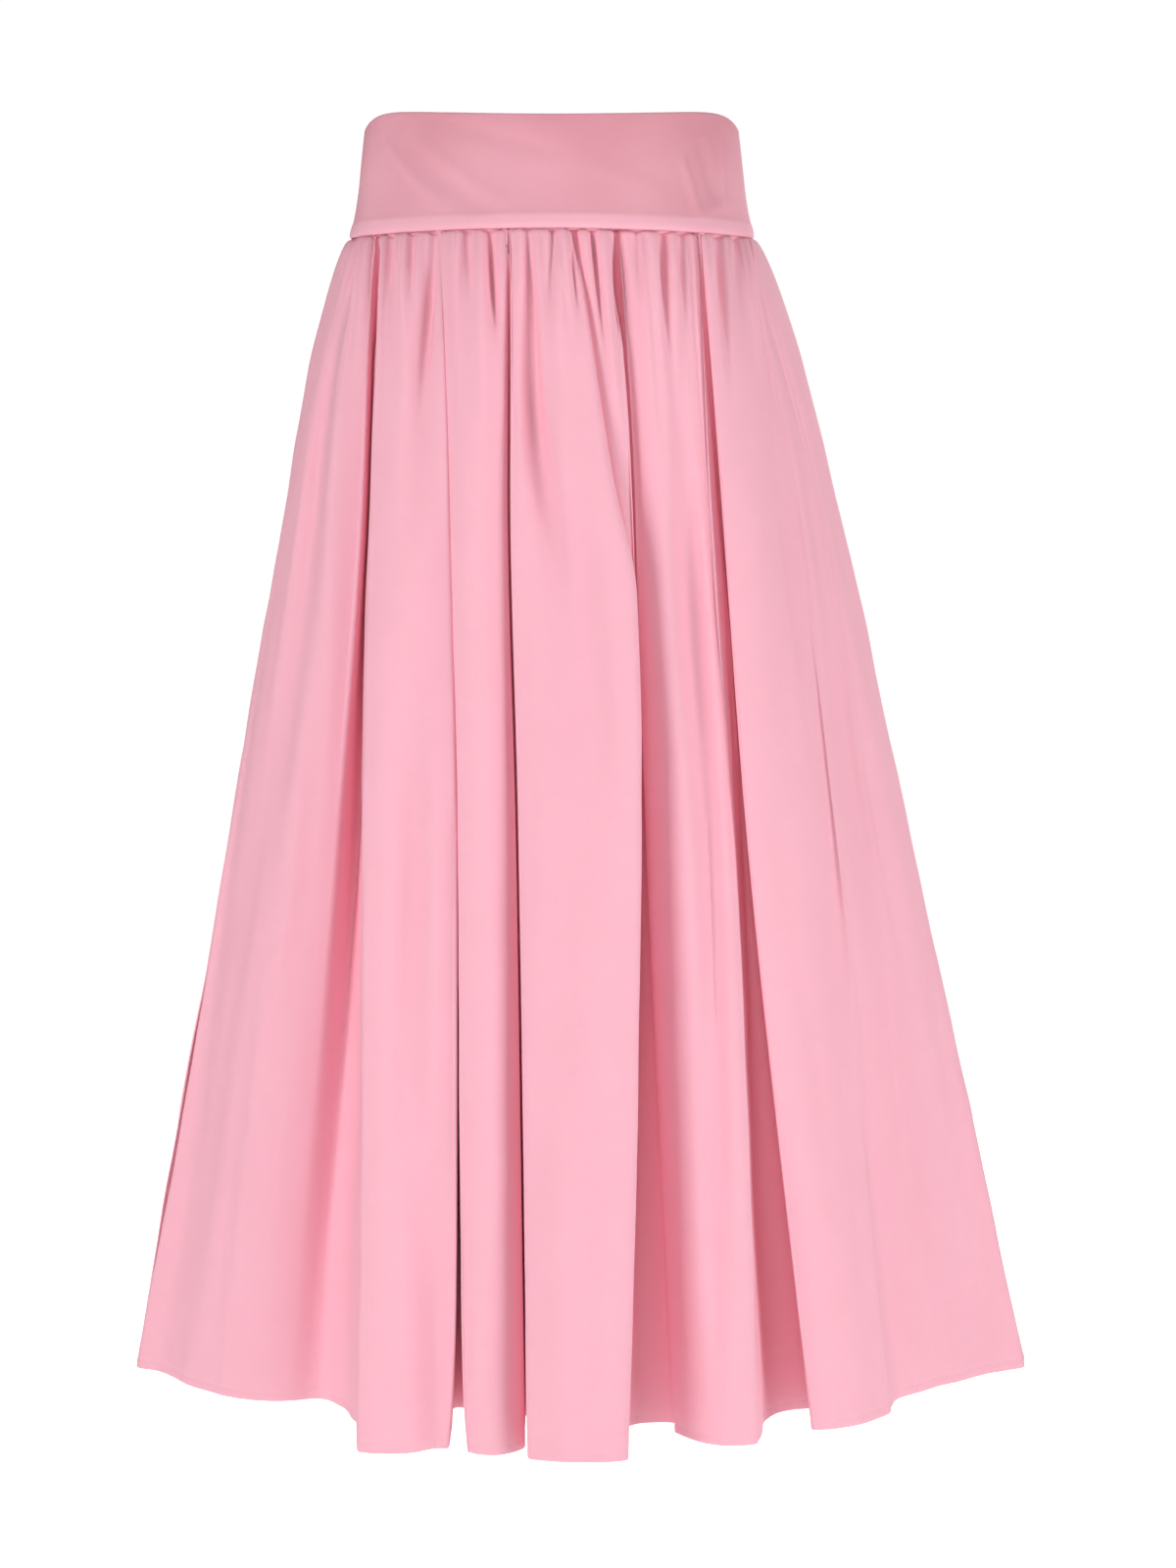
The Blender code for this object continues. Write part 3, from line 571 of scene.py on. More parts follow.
@dataclass(frozen=True)
class FoldedRing:
    """The skirt's plan at every height, from the waist seam (0) to the hem (1).

    The half width is a0 + spring (1 - exp(-t / reach)) + (a1 - a0 - spring) t, and the half
    depth grows in proportion to it. The fold tables are given at four levels, or at five with
    one more under the hip. A wing is the group of lines round a side edge, and its tip the one
    on the edge.
    """

    seam_half_width: float = SEAM_HALF_WIDTH
    seam_half_depth: float = SEAM_HALF_DEPTH
    hem_half_width: float = 0.3145
    hem_front_depth: float = 0.224
    hem_back_depth: float = 0.205
    hem_shift: float = 0.020
    spring: float = 0.0155
    spring_reach: float = 0.045
    line_pitch: float = 0.004
    levels: Numbers = (0.0, 0.2, 0.5, 1.0)
    more_levels: Numbers = (0.0, 0.2, 0.3, 0.5, 1.0)
    roundness_rise: Numbers = (0.25, 0.6, 0.85, 1.0)
    wing_angle: Numbers = (3.0, 4.0, 3.5, 2.5)
    wing_shares: Numbers = (-1, -0.5, 0, 0.5, 1.7, 3)
    wing_tip: int = 2
    kept_reach: float = 0.25
    wall_shares: Numbers = (0.05, 0.30, 0.70)
    mouth_share: float = 0.25
    face_spans_min: int = 3
    crisp_spans: int = 4
    crispness: float = 0.9
    crisp_power: float = 7.0
    crisp_roll: float = 0.0024
    crisp_share: float = 0.35
    opening_power: float = 18.0

    def along(self, values: Numbers, heights: np.ndarray) -> np.ndarray:
        """A smooth monotone curve through values at the four or five levels.

        It is a cubic Hermite curve whose inner slopes are harmonic means of the slopes on
        each side, or level where those have different signs.

        Args:
            values: one for each level.
            heights: where the curve is read, as a column.

        Returns:
            The curve at the heights.
        """
        values = np.asarray(values, float)
        levels = np.array(self.levels if len(values) == len(self.levels) else self.more_levels)
        steps = np.diff(levels)
        slopes = np.diff(values) / steps
        product, total = slopes[:-1] * slopes[1:], slopes[:-1] + slopes[1:]
        inner = np.where(product > 0, 2 * product / np.where(total == 0, 1, total), 0)
        tangents = np.concatenate([slopes[:1], inner, slopes[-1:]])
        span = np.clip(np.searchsorted(levels, heights, side="right") - 1, 0, len(steps) - 1)
        step = steps[span]
        s = (heights - levels[span]) / step
        start = (1 + 2 * s) * (1 - s) ** 2 * values[span]
        start += s * (1 - s) ** 2 * step * tangents[span]
        end = s**2 * (3 - 2 * s) * values[span + 1]
        end += s**2 * (s - 1) * step * tangents[span + 1]
        return start + end

    def half_width(self, heights: np.ndarray) -> np.ndarray:
        """Half the skirt's width.

        Args:
            heights: of any shape.

        Returns:
            Half widths, shaped like heights.
        """
        spring = self.spring * (1 - np.exp(-heights / self.spring_reach))
        rest = self.hem_half_width - self.seam_half_width - self.spring
        return self.seam_half_width + spring + rest * heights

    def half_depth(self, heights: np.ndarray, side: Side) -> np.ndarray:
        """Half the skirt's depth towards one side.

        Args:
            heights: of any shape.
            side: of the skirt.

        Returns:
            Half depths, shaped like heights.
        """
        hem_depth = self.hem_front_depth if side is Side.FRONT else self.hem_back_depth
        flare = self.half_width(heights) - self.seam_half_width
        flare /= self.hem_half_width - self.seam_half_width
        return self.seam_half_depth + (hem_depth - self.seam_half_depth) * flare

    def on_ring(
        self, x: np.ndarray, set_back: np.ndarray, heights: np.ndarray, side: Side
    ) -> np.ndarray:
        """Plan points at x, set back from the ellipse.

        Args:
            x: places, by height and column.
            set_back: distances inwards, of a shape that broadcasts with x.
            heights: as a column.
            side: of the skirt.

        Returns:
            Points by height, column and x, y.
        """
        across = np.clip((x - self.hem_shift * heights) / self.half_width(heights), -1, 1)
        reach = self.half_depth(heights, side) * np.sqrt(1 - across**2)
        y = side.value * np.maximum(reach - set_back, self.kept_reach * reach)
        return np.stack([x, y], axis=-1)

    def face_shares(self, fold: Fold, spans: int, heights: np.ndarray) -> np.ndarray:
        """Where the lines of a face stand across it, closer to a crisp edge down the skirt.

        With s even from 0 to 1, the crowded places are s^(1 + c) for a crisp left edge,
        1 - (1 - s)^(1 + c) for a right one, and (1 - cos(pi s)) / 2 for both. They blend
        with s by c, which grows from 0 at the seam as the face's round section does.

        Args:
            fold: the fold.
            spans: between its lines.
            heights: as a column.

        Returns:
            Shares by height and line.
        """
        even = np.linspace(0, 1, spans + 1)[None, :]
        crisp = self.crispness * self.along(self.roundness_rise, heights)
        if fold.crisp == (True, True):
            return even + crisp * ((1 - np.cos(math.pi * even)) / 2 - even)
        if fold.crisp == (True, False):
            return even ** (1 + crisp)
        if fold.crisp == (False, True):
            return 1 - (1 - even) ** (1 + crisp)
        return even + 0 * heights

    def fold_face(
        self, fold: Fold, heights: np.ndarray, side: Side, opening: float
    ) -> np.ndarray:
        """The lines on the face of a fold, from its left edge to its right edge.

        With s from 0 to 1 across the face of width w, it falls back by w/2 (2s - 1)^2, of
        which only a share towards a crisp edge. That rolls over with a rounded box's
        1 - (1 - |2s - 1|^p)^(1/p). A slant (s - 1/2) and the creases are added.

        Args:
            fold: the fold.
            heights: as a column.
            side: of the skirt.
            opening: of the valley before it.

        Returns:
            Plan points by height and line.
        """
        opened = heights**self.opening_power * MM / 2
        left = self.along(fold.left, heights) * MM + opening * opened
        right = self.along(fold.right, heights) * MM - fold.opening * opened
        set_back = self.along(fold.set_back, heights) * MM
        roundness = fold.roundness * self.along(self.roundness_rise, heights)
        ends = self.on_ring(np.concatenate([left, right], axis=1), 0, heights, side)[0]
        spans = max(self.face_spans_min, round(math.dist(*ends) / self.line_pitch))
        spans += self.crisp_spans * any(fold.crisp)
        share = self.face_shares(fold, spans, heights)
        x = left + (right - left) * share
        away = np.abs(2 * share - 1)
        boxed = 1 - np.clip(1 - away**self.crisp_power, 0, 1) ** (1 / self.crisp_power)
        crisp = np.where(share < 0.5, *fold.crisp)
        fall = roundness * (right - left) / 2 * away**2 * np.where(crisp, self.crisp_share, 1)
        roll = self.crisp_roll * self.along(self.roundness_rise, heights)
        fall += np.where(crisp, roll * boxed, 0)
        slant = fold.tilt * MM * (share - 0.5) * heights
        inwards = set_back + fall + slant + crease_depth(CREASES, x, heights, side)
        return self.on_ring(x, inwards, heights, side)

    def valley(
        self, fold: Fold, left: np.ndarray, right: np.ndarray, heights: np.ndarray, side: Side
    ) -> np.ndarray:
        """The lines between two folds: down one wall, along the floor and up the other.

        Args:
            fold: the fold to the valley's left.
            left: the last line of that fold's face.
            right: the first line of the next fold's face.
            heights: as a column.
            side: of the skirt.

        Returns:
            Plan points by height and line.
        """
        depth = self.along(fold.floor, heights) * MM
        mouth = right[..., :1] - left[..., :1]
        centre = left[..., :1] + mouth / 2 + fold.lean * MM * heights**2
        if not fold.floor_width:
            return self.on_ring(centre, depth, heights, side)
        half_floor = fold.floor_width / 2 * MM * heights + self.mouth_share * mouth
        floor_left = self.on_ring(centre - half_floor, depth, heights, side)[:, 0]
        floor_right = self.on_ring(centre + half_floor, depth, heights, side)[:, 0]
        down = [left + (floor_left - left) * share for share in self.wall_shares]
        up = [right + (floor_right - right) * share for share in self.wall_shares[::-1]]
        return np.stack([*down, floor_left, floor_right, *up], axis=1)

    def side_lines(
        self, folds: tuple[Fold, ...], heights: np.ndarray, side: Side
    ) -> np.ndarray:
        """All lines of the front or the back: the folds' faces and the valleys between them.

        Args:
            folds: of that side, from -X to +X.
            heights: as a column.
            side: of the skirt.

        Returns:
            Plan points by height and line, from -X to +X.
        """
        openings = [0, *(fold.opening for fold in folds)]
        faces = [
            self.fold_face(fold, heights, side, before) for fold, before in zip(folds, openings)
        ]
        parts = [faces[0]]
        for fold, face, next_face in zip(folds, faces, faces[1:]):
            parts.append(self.valley(fold, face[:, -1], next_face[:, 0], heights, side))
            parts.append(next_face)
        return np.concatenate(parts, axis=1)

    def wing(self, heights: np.ndarray, end: int) -> np.ndarray:
        """The lines round a side edge, at shares of the wing's angle from it.

        Args:
            heights: as a column.
            end: -1 on the left, 1 on the right.

        Returns:
            Plan points by height and line, from the front to the back.
        """
        lines = []
        wing_angle = np.radians(self.along(self.wing_angle, heights))
        for share in self.wing_shares:
            angle = share * wing_angle
            side = Side.BACK if share > 0 else Side.FRONT
            x = self.hem_shift * heights + end * self.half_width(heights) * np.cos(angle)
            y = self.half_depth(heights, side) * np.sin(angle)
            lines.append(np.concatenate([x, y], axis=1))
        return np.stack(lines, axis=1)

    def corners(self, heights: np.ndarray) -> tuple[np.ndarray, int]:
        """The corner lines of the whole ring.

        They run from the left side along the front to the right side, and behind it back to
        the left side.

        Args:
            heights: as a column.

        Returns:
            Plan points by height and line, and the index of the line on the right side.
        """
        tip = self.wing_tip
        left, right = self.wing(heights, -1), self.wing(heights, 1)
        front = self.side_lines(FRONT_FOLDS, heights, Side.FRONT)
        back = self.side_lines(BACK_FOLDS, heights, Side.BACK)
        parts = [left[:, tip::-1], front, right, back[:, ::-1], left[:, :tip:-1]]
        return np.concatenate(parts, axis=1), 1 + 2 * tip + front.shape[1]

    def plan(self, corners: np.ndarray, places: np.ndarray) -> np.ndarray:
        """Points of the smooth ring, as a cubic B-spline over its corner lines.

        Args:
            corners: plan points by height and line.
            places: positions round the ring, one unit for each line.

        Returns:
            Plan points by height and place.
        """
        cell = np.floor(places).astype(int)
        count = corners.shape[1]
        total = np.zeros((len(corners), len(places), 2))
        for step, weight in enumerate(spline_weights(places - cell)):
            total += weight[None, :, None] * corners[:, (cell + step - 1) % count]
        return total


@dataclass(frozen=True)
class Gathers:
    """The small irregular gathers that the waist seam draws in.

    Each is a ridge of section cos(pi a)^p, where a runs from -1/2 to 1/2 across it. The
    power p is low at the seam, which pinches the cloth between the ridges, and grows below
    it. The height grows just under the seam and dies out with each gather's own reach.
    """

    pitch: Numbers = (0.0048, 0.0150)
    height: Numbers = (0.0024, 0.0056)
    reach: Numbers = (0.014, 0.100)
    power: Numbers = (0.45, 1.8)
    power_reach: float = 0.045
    start_share: float = 0.25
    start_reach: float = 0.004
    decay_power: float = 1.3
    sunk_share: float = 0.4

    def relief(self, around: np.ndarray, below: np.ndarray, length: float) -> np.ndarray:
        """How far the gathers stand out.

        Args:
            around: places round the seam.
            below: distances under the seam.
            length: of the seam, all round.

        Returns:
            Heights by row and column.
        """
        random = np.random.default_rng(Seed.GATHERS.value)
        gaps = random.uniform(*self.pitch, int(length / np.mean(self.pitch)))
        gaps *= length / gaps.sum()
        heights = random.uniform(*self.height, len(gaps))
        reaches = self.reach[0] + (self.reach[1] - self.reach[0]) * random.random(len(gaps)) ** 2
        ends = np.cumsum(gaps)
        gather = np.minimum(np.searchsorted(ends, around), len(gaps) - 1)
        across = (around - ends[gather]) / gaps[gather] + 0.5
        section = np.clip(np.cos(math.pi * across), 0, 1)[None, :]
        low, high = self.power
        power = low + (high - low) * (1 - np.exp(-below / self.power_reach))
        decay = np.exp(-((below[:, None] / reaches[gather][None, :]) ** self.decay_power))
        grown = 1 - (1 - self.start_share) * np.exp(-below / self.start_reach)
        ridges = section ** power[:, None] - self.sunk_share
        return heights[gather] * decay * grown[:, None] * ridges


@dataclass(frozen=True)
class Stitching:
    """A line of machine stitches, each a slim closed spindle lying on the cloth."""

    pitch: float = 0.0030
    half_length: float = 0.00115
    half_width: float = 0.00030
    height: float = 0.00022
    rings: int = 3
    sides: int = 6
    sunk: float = 0.00005

    def spindle(self) -> tuple[np.ndarray, np.ndarray]:
        """The points and triangles of one stitch, with its length along the first axis.

        The radius at the angle a from one end to the other is sin a, and its place is
        -cos a, so the shape is an ellipsoid once it is scaled.

        Returns:
            Unit points (count, 3) and triangles (count, 3).
        """
        along = np.linspace(0, math.pi, self.rings + 2)[1:-1]
        turn = np.arange(self.sides) * 2 * math.pi / self.sides
        x = np.repeat(-np.cos(along), self.sides)
        y = np.outer(np.sin(along), np.cos(turn)).ravel()
        z = np.outer(np.sin(along), np.sin(turn)).ravel()
        ends = np.array([[-1.0, 0, 0], [1.0, 0, 0]])
        points = np.concatenate([np.stack([x, y, z], axis=-1), ends])
        here = np.arange(self.sides)
        after = (here + 1) % self.sides
        start, end = len(points) - 2, len(points) - 1
        last = (self.rings - 1) * self.sides
        faces = [np.stack([np.full(self.sides, start), after, here], axis=-1)]
        for ring in range(self.rings - 1):
            low, high = ring * self.sides, (ring + 1) * self.sides
            faces.append(np.stack([low + here, low + after, high + after], axis=-1))
            faces.append(np.stack([low + here, high + after, high + here], axis=-1))
        faces.append(np.stack([np.full(self.sides, end), last + here, last + after], axis=-1))
        return points, np.concatenate(faces)

    def on_line(self, points: np.ndarray, normals: np.ndarray) -> np.ndarray:
        """Places the stitches at equal steps along a line.

        Args:
            points: of the line.
            normals: of the cloth along it.

        Returns:
            Points by stitch and corner of the spindle.
        """
        length = lengths_along(points, axis=0)
        count = int(length[-1] / self.pitch)
        middle = (np.arange(count) + 0.5) * length[-1] / count
        centre = read_along(middle, length, points)
        normal = unit(read_along(middle, length, normals))
        ahead = read_along(middle + self.half_length, length, points)
        along = unit(ahead - centre)
        across = unit(np.cross(normal, along))
        normal = np.cross(along, across)
        frame = np.stack(
            [along * self.half_length, across * self.half_width, normal * self.height], axis=1
        )
        unit_points, _ = self.spindle()
        places = np.einsum("pk,nkc->npc", unit_points, frame)
        return places + (centre - normal * self.sunk)[:, None]

    def build(
        self, name: str, lines: list[tuple[np.ndarray, np.ndarray]], material: bpy.types.Material
    ) -> bpy.types.Object:
        """One piece for all stitches of several lines.

        Args:
            name: of the piece.
            lines: points and normals of each line.
            material: the thread's finish.

        Returns:
            The new piece.
        """
        stitches = np.concatenate([self.on_line(*line) for line in lines])
        unit_points, unit_faces = self.spindle()
        starts = np.arange(len(stitches)) * len(unit_points)
        faces = (unit_faces[None] + starts[:, None, None]).reshape(-1, 3)
        return new_piece(name, stitches.reshape(-1, 3), faces, material)


@dataclass(frozen=True)
class SkirtPanel:
    """A cloth panel, cut wider at the hem than at the top edge, which is gathered."""

    name: str
    node: str  # the solid that it stands for
    hangs_from: str  # the piece of the band that it is sewn to
    top_width: float  # of the cut, before gathering
    hem_width: float
    columns: int


PANELS = (
    SkirtPanel("front_cloth", "front_panel", "waistband_front", 0.68, 1.72, 430),
    SkirtPanel("back_right_cloth", "back_right_panel", "waistband_back_right", 0.36, 0.88, 216),
    SkirtPanel("back_left_cloth", "back_left_panel", "waistband_back_left", 0.34, 0.86, 216),
)


@dataclass
class Skirt:
    """The three gathered panels with their seams, turned hem and stitching.

    Rows are given in millimetres from the seam and from the hem. A pitch of noise has a part
    across the cloth and a part down it.
    """

    ring: FoldedRing = field(default_factory=FoldedRing)
    gathers: Gathers = field(default_factory=Gathers)
    stitching: Stitching = field(default_factory=Stitching)
    band_height: float = BAND_HEIGHT
    seam_side_drop: float = SEAM_SIDE_DROP
    seam_gap: float = 0.0004
    hem_drop: float = 0.865
    cut_length: float = 0.81
    wall: float = 0.0008
    samples_per_line: int = 12
    seam_step: float = 0.25
    column_levels: Numbers = (0.0, 0.3, 1.0)
    column_pitches: Numbers = (0.0011, 0.0026, 0.0046)
    column_turn: float = 0.35
    level_step: float = 0.001
    hidden_share: float = 0.4
    edge_columns: Numbers = (0.0005, 0.0011, 0.0020)
    row_pitch: float = 0.0100
    seam_rows: Numbers = (0, 0.3, 0.8, 1.4, 2.2, 3.2, 4.5, 6, 8, 10.5, 13.5, 17, 21, 25.5,
                          30.5, 36, 42, 49, 57, 66)
    hem_rows: Numbers = (0, 0.8, 1.8, 3, 4.2, 4.9, 5.5, 6.1, 6.8, 8, 10, 12.5, 16, 20.5, 26, 33)
    top_seam_radius: float = 0.0026
    zip_half_width: float = 0.0170
    zip_reach: float = 0.150
    zip_softness: float = 0.008
    zip_power: int = 4
    tucked_in: float = 0.0022
    tucked_back: float = 0.0010
    side_seam_radius: float = 0.0007
    hem_depth: float = 0.0018
    hem_turn: float = 0.0085
    hem_arc_steps: int = 4
    stitch_rise: float = 0.0055
    stitch_groove: float = 0.00022
    stitch_groove_width: float = 0.0009
    pucker_height: float = 0.00045
    pucker_pitch: Numbers = (0.0065, 0.020)
    pucker_reach: float = 0.016
    side_pucker_height: float = 0.0004
    side_pucker_waves: float = 46.0
    side_pucker_start: float = 0.002
    side_pucker_reach: float = 0.012
    settle_reach: float = 0.09
    slack_height: float = 0.0040
    slack_pitch: Numbers = (0.036, 0.300)
    crease_height: float = 0.0016
    crease_pitch: Numbers = (0.013, 0.110)
    crumple_height: float = 0.00042
    crumple_pitch: Numbers = (0.0120, 0.030)
    # Painted shade in the folds: how it is measured, and how it fades down the skirt and at the
    # sides
    fold_shade_columns: int = 14
    fold_shade_depth: float = 0.024
    fold_shade_power: float = 0.7
    fold_shade_fade: float = 0.9
    fold_shade_fade_power: float = 1.3
    fold_shade_side_reach: float = 0.16

    def seam_height(self, x: np.ndarray) -> np.ndarray:
        """Height of the waist seam at x: it drops a little towards the sides."""
        share = np.clip(x / self.ring.seam_half_width, -1, 1)
        return -self.band_height - self.seam_side_drop * share**2

    def heights(self) -> np.ndarray:
        """The rows' heights, close together at the seam and the hem.

        Returns:
            Heights as a column, from 0 to 1.
        """
        length = self.hem_drop - self.band_height - self.seam_gap
        upper = np.array(self.seam_rows) * MM / length
        lower = 1 - np.array(self.hem_rows[::-1]) * MM / length
        count = round((lower[0] - upper[-1]) * length / self.row_pitch)
        middle = np.linspace(upper[-1], lower[0], count + 1)[1:-1]
        return np.concatenate([upper, middle, lower])[:, None]

    def outwards(self, grid: np.ndarray, normals: np.ndarray, heights: np.ndarray) -> np.ndarray:
        """How much the cloth faces away from the skirt's middle.

        Args:
            grid: points by row and column.
            normals: of the surface there.
            heights: as a column.

        Returns:
            Shares by row and column, from 0 to 1.
        """
        middle = np.stack([self.ring.hem_shift * heights, 0 * heights], axis=-1)
        radial = unit(grid[..., :2] - middle)
        return np.clip((normals[..., :2] * radial).sum(axis=-1), 0, 1)

    def places(self, first: float, last: float, columns: int) -> np.ndarray:
        """The columns' places round the ring, close together where the cloth shows.

        Each column takes an equal share of the largest of the ring's needs at a few
        heights: its length over the pitch wanted there, and its turning over the turn that
        one column may take. Cloth that faces inside a fold counts for less.

        Args:
            first: where the panel starts.
            last: where it ends.
            columns: their number.

        Returns:
            Places from first to last.
        """
        dense = np.linspace(first, last, round((last - first) * self.samples_per_line) + 1)
        heights = np.array(self.column_levels)[:, None]
        steps_down = np.tile([[0], [self.level_step]], (len(heights), 1))
        tall = np.repeat(heights, 2, axis=0) + steps_down
        grid = self.base_grid(dense, tall)
        pairs = grid.reshape(len(heights), 2, *grid.shape[1:])
        moves = np.diff(pairs[:, 0, :, :2], axis=1)
        steps = np.linalg.norm(moves, axis=-1)
        ways = np.unwrap(np.arctan2(moves[..., 1], moves[..., 0]), axis=1)
        turns = np.abs(np.gradient(ways, axis=1)) / self.column_turn
        shown = []
        for pair, height in zip(pairs, heights):
            normals = surface_normals(pair)
            shown.append(self.outwards(pair, normals, height[None])[0])
        shown = np.array(shown)
        shown = self.hidden_share + (1 - self.hidden_share) * (shown[:, 1:] + shown[:, :-1]) / 2
        need = steps / np.array(self.column_pitches)[:, None] + turns
        need = (need * shown).max(axis=0)
        total = np.concatenate([[0], np.cumsum(need)])
        even = np.linspace(0, total[-1], columns - 2 * len(self.edge_columns))
        edge = np.array(self.edge_columns) / np.array(self.column_pitches).min()
        chosen = np.sort(np.concatenate([even, edge, total[-1] - edge]))
        return np.interp(chosen, total, dense)

    def base_grid(self, places: np.ndarray, heights: np.ndarray) -> np.ndarray:
        """The smooth folded surface: the ring's plan, with z linear from seam to hem.

        Args:
            places: round the ring.
            heights: as a column.

        Returns:
            Points by row and column.
        """
        corners, _ = self.ring.corners(heights)
        plan = self.ring.plan(corners, places)
        top = self.seam_height(plan[:1, :, 0]) - self.seam_gap
        z = top + (-self.hem_drop - top) * heights
        return np.concatenate([plan, z[..., None]], axis=-1)

    def relief(
        self, grid: np.ndarray, normals: np.ndarray, heights: np.ndarray,
        around: np.ndarray, seam_length: float, cloth_u: np.ndarray,
    ) -> np.ndarray:
        """How far the gathers, slack and stitching move the cloth along its normals.

        Slack, long creases and crumple are soft noise. Under the seam they grow by
        1 - exp(-b / reach), where b is the distance below it, and over the zip they are calm.
        The hem's puckers and the groove of its stitches are Gaussian across the stitches.

        Args:
            grid: the smooth surface.
            normals: of that surface.
            heights: as a column.
            around: places of the columns round the waist seam.
            seam_length: of the whole waist seam.
            cloth_u: places of the columns across the flat cloth.

        Returns:
            Heights by row and column.
        """
        below = (grid[:1, :, 2] - grid[..., 2]).mean(axis=1)
        above = (grid[..., 2] - grid[-1:, :, 2]).mean(axis=1)[:, None]
        facing = self.outwards(grid, normals, heights)
        in_front, behind = (
            crease_depth(FINE_CREASES, grid[..., 0], heights, side) for side in Side
        )
        tucks = np.where(grid[..., 1] < 0, in_front, behind)
        gathers = self.gathers.relief(around, below, seam_length) * facing
        u, v = cloth_u[None, :], below[:, None]
        settled = (1 - np.exp(-v / self.settle_reach)) * (1 - self.over_zip(grid, v))
        slack = self.slack_height * settled * cloth_noise(u, v, self.slack_pitch, Seed.SLACK)
        creases = cloth_noise(u, v, self.crease_pitch, Seed.LONG_CREASES)
        slack += self.crease_height * settled * creases
        crumple = cloth_noise(u, v, self.crumple_pitch, Seed.CRUMPLE)
        crumple = self.crumple_height * settled * facing * crumple
        pucker = cloth_noise(u, v, self.pucker_pitch, Seed.HEM_PUCKER)
        rise = (above - self.stitch_rise) / self.pucker_reach
        pucker = self.pucker_height * pucker * np.exp(-(rise**2))
        groove = (above - self.stitch_rise) / self.stitch_groove_width
        groove = -self.stitch_groove * np.exp(-(groove**2))
        return gathers + slack * facing + crumple + pucker + groove - tucks * facing

    def over_zip(self, grid: np.ndarray, below: np.ndarray) -> np.ndarray:
        """Where the cloth lies calm over the zip.

        Across the zip the share is exp(-(x / w)^4), and down it a logistic step.

        Args:
            grid: the smooth surface.
            below: the rows' distances under the seam, as a column.

        Returns:
            Shares by row and column, from 0 to 1.
        """
        across = np.exp(-((grid[..., 0] / self.zip_half_width) ** self.zip_power))
        across = across * (grid[..., 1] > 0)
        return across / (1 + np.exp((below - self.zip_reach) / self.zip_softness))

    def side_seams(self, grid: np.ndarray, normals: np.ndarray, heights: np.ndarray) -> np.ndarray:
        """The grid with its first and last columns rolled inwards and puckered.

        Args:
            grid: the worked surface.
            normals: of that surface.
            heights: as a column.

        Returns:
            The grid with both seams worked in.
        """
        from_left = lengths_along(grid, axis=1)
        from_right = from_left[:, -1:] - from_left
        nearest = np.minimum(from_left, from_right)
        depth = rounded_in(nearest, self.side_seam_radius)
        along = heights * self.side_pucker_waves
        wave = soft_noise(np.zeros_like(heights), along, Seed.SIDE_PUCKER)
        fade = np.exp(-((nearest / self.side_pucker_reach) ** 2))
        start = np.clip(nearest / self.side_pucker_start, 0, 1)
        pucker = self.side_pucker_height * wave * fade * start
        return grid + normals * (pucker - depth)[..., None]

    def worked_grid(
        self, places: np.ndarray, heights: np.ndarray
    ) -> tuple[np.ndarray, np.ndarray, np.ndarray]:
        """A panel's outer face from the seam to the hem, with everything worked into it.

        Args:
            places: of its columns round the ring.
            heights: as a column.

        Returns:
            Its points, its normals and the columns' places across the flat cloth.
        """
        grid = self.base_grid(places, heights)
        normals = surface_normals(grid)
        steps = np.arange(0, self.line_count() + 1, self.seam_step)
        seam_lengths = lengths_along(self.base_grid(steps, np.zeros((1, 1)))[0], axis=0)
        around = np.interp(places, steps, seam_lengths)
        cloth_u = lengths_along(grid, axis=1)[-1]
        worked = self.relief(grid, normals, heights, around, seam_lengths[-1], cloth_u)
        grid = grid + normals * worked[..., None]
        grid = self.side_seams(grid, normals, heights)
        normals = surface_normals(grid)
        level_normals = unit(normals * np.array([1, 1, 0]))
        below = (grid[:1, :, 2] - grid[..., 2])[..., None]
        grid = grid - level_normals * rounded_in(below, self.top_seam_radius)
        return grid, normals, cloth_u

    def build_panel(
        self, panel: SkirtPanel, places: np.ndarray, material: bpy.types.Material
    ) -> tuple[bpy.types.Object, np.ndarray, np.ndarray]:
        """One cloth panel, from a place round the ring to another.

        Args:
            panel: its names and cut.
            places: of its columns round the ring.
            material: the cloth's finish.

        Returns:
            The piece, and the points and normals of the row that the hem is stitched along.
        """
        heights = self.heights()
        grid, normals, cloth_u = self.worked_grid(places, heights)
        rows = [self.seam_row(grid[:1]), grid, *self.turned_hem(grid, normals)]
        surface = np.concatenate(rows, axis=0)
        after = len(surface) - 1 - len(grid)
        # Painted shade in the folds, carried on every row as an attribute
        fold_shade = np.pad(self.fold_shade(grid, heights), ((1, after), (0, 0)), mode="edge")
        piece = new_cloth(panel.name, surface, cloth_u, material, self.wall, fold_shade)
        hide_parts(panel.node)
        stitch_row = -1 - self.hem_rows.index(self.stitch_rise / MM)
        return piece, grid[stitch_row], normals[stitch_row]

    def seam_row(self, top: np.ndarray) -> np.ndarray:
        """The cloth's edge between the band's two layers, on the ellipse midway between them.

        Args:
            top: the row just under the seam.

        Returns:
            The row of the edge.
        """
        half_width, half_depth = self.ring.seam_half_width, self.ring.seam_half_depth
        turn = np.arctan2(top[..., 0] / half_width, -top[..., 1] / half_depth)
        x = (half_width - self.tucked_back) * np.sin(turn)
        y = -(half_depth - self.tucked_back) * np.cos(turn)
        return np.stack([x, y, top[..., 2] + self.tucked_in], axis=-1)

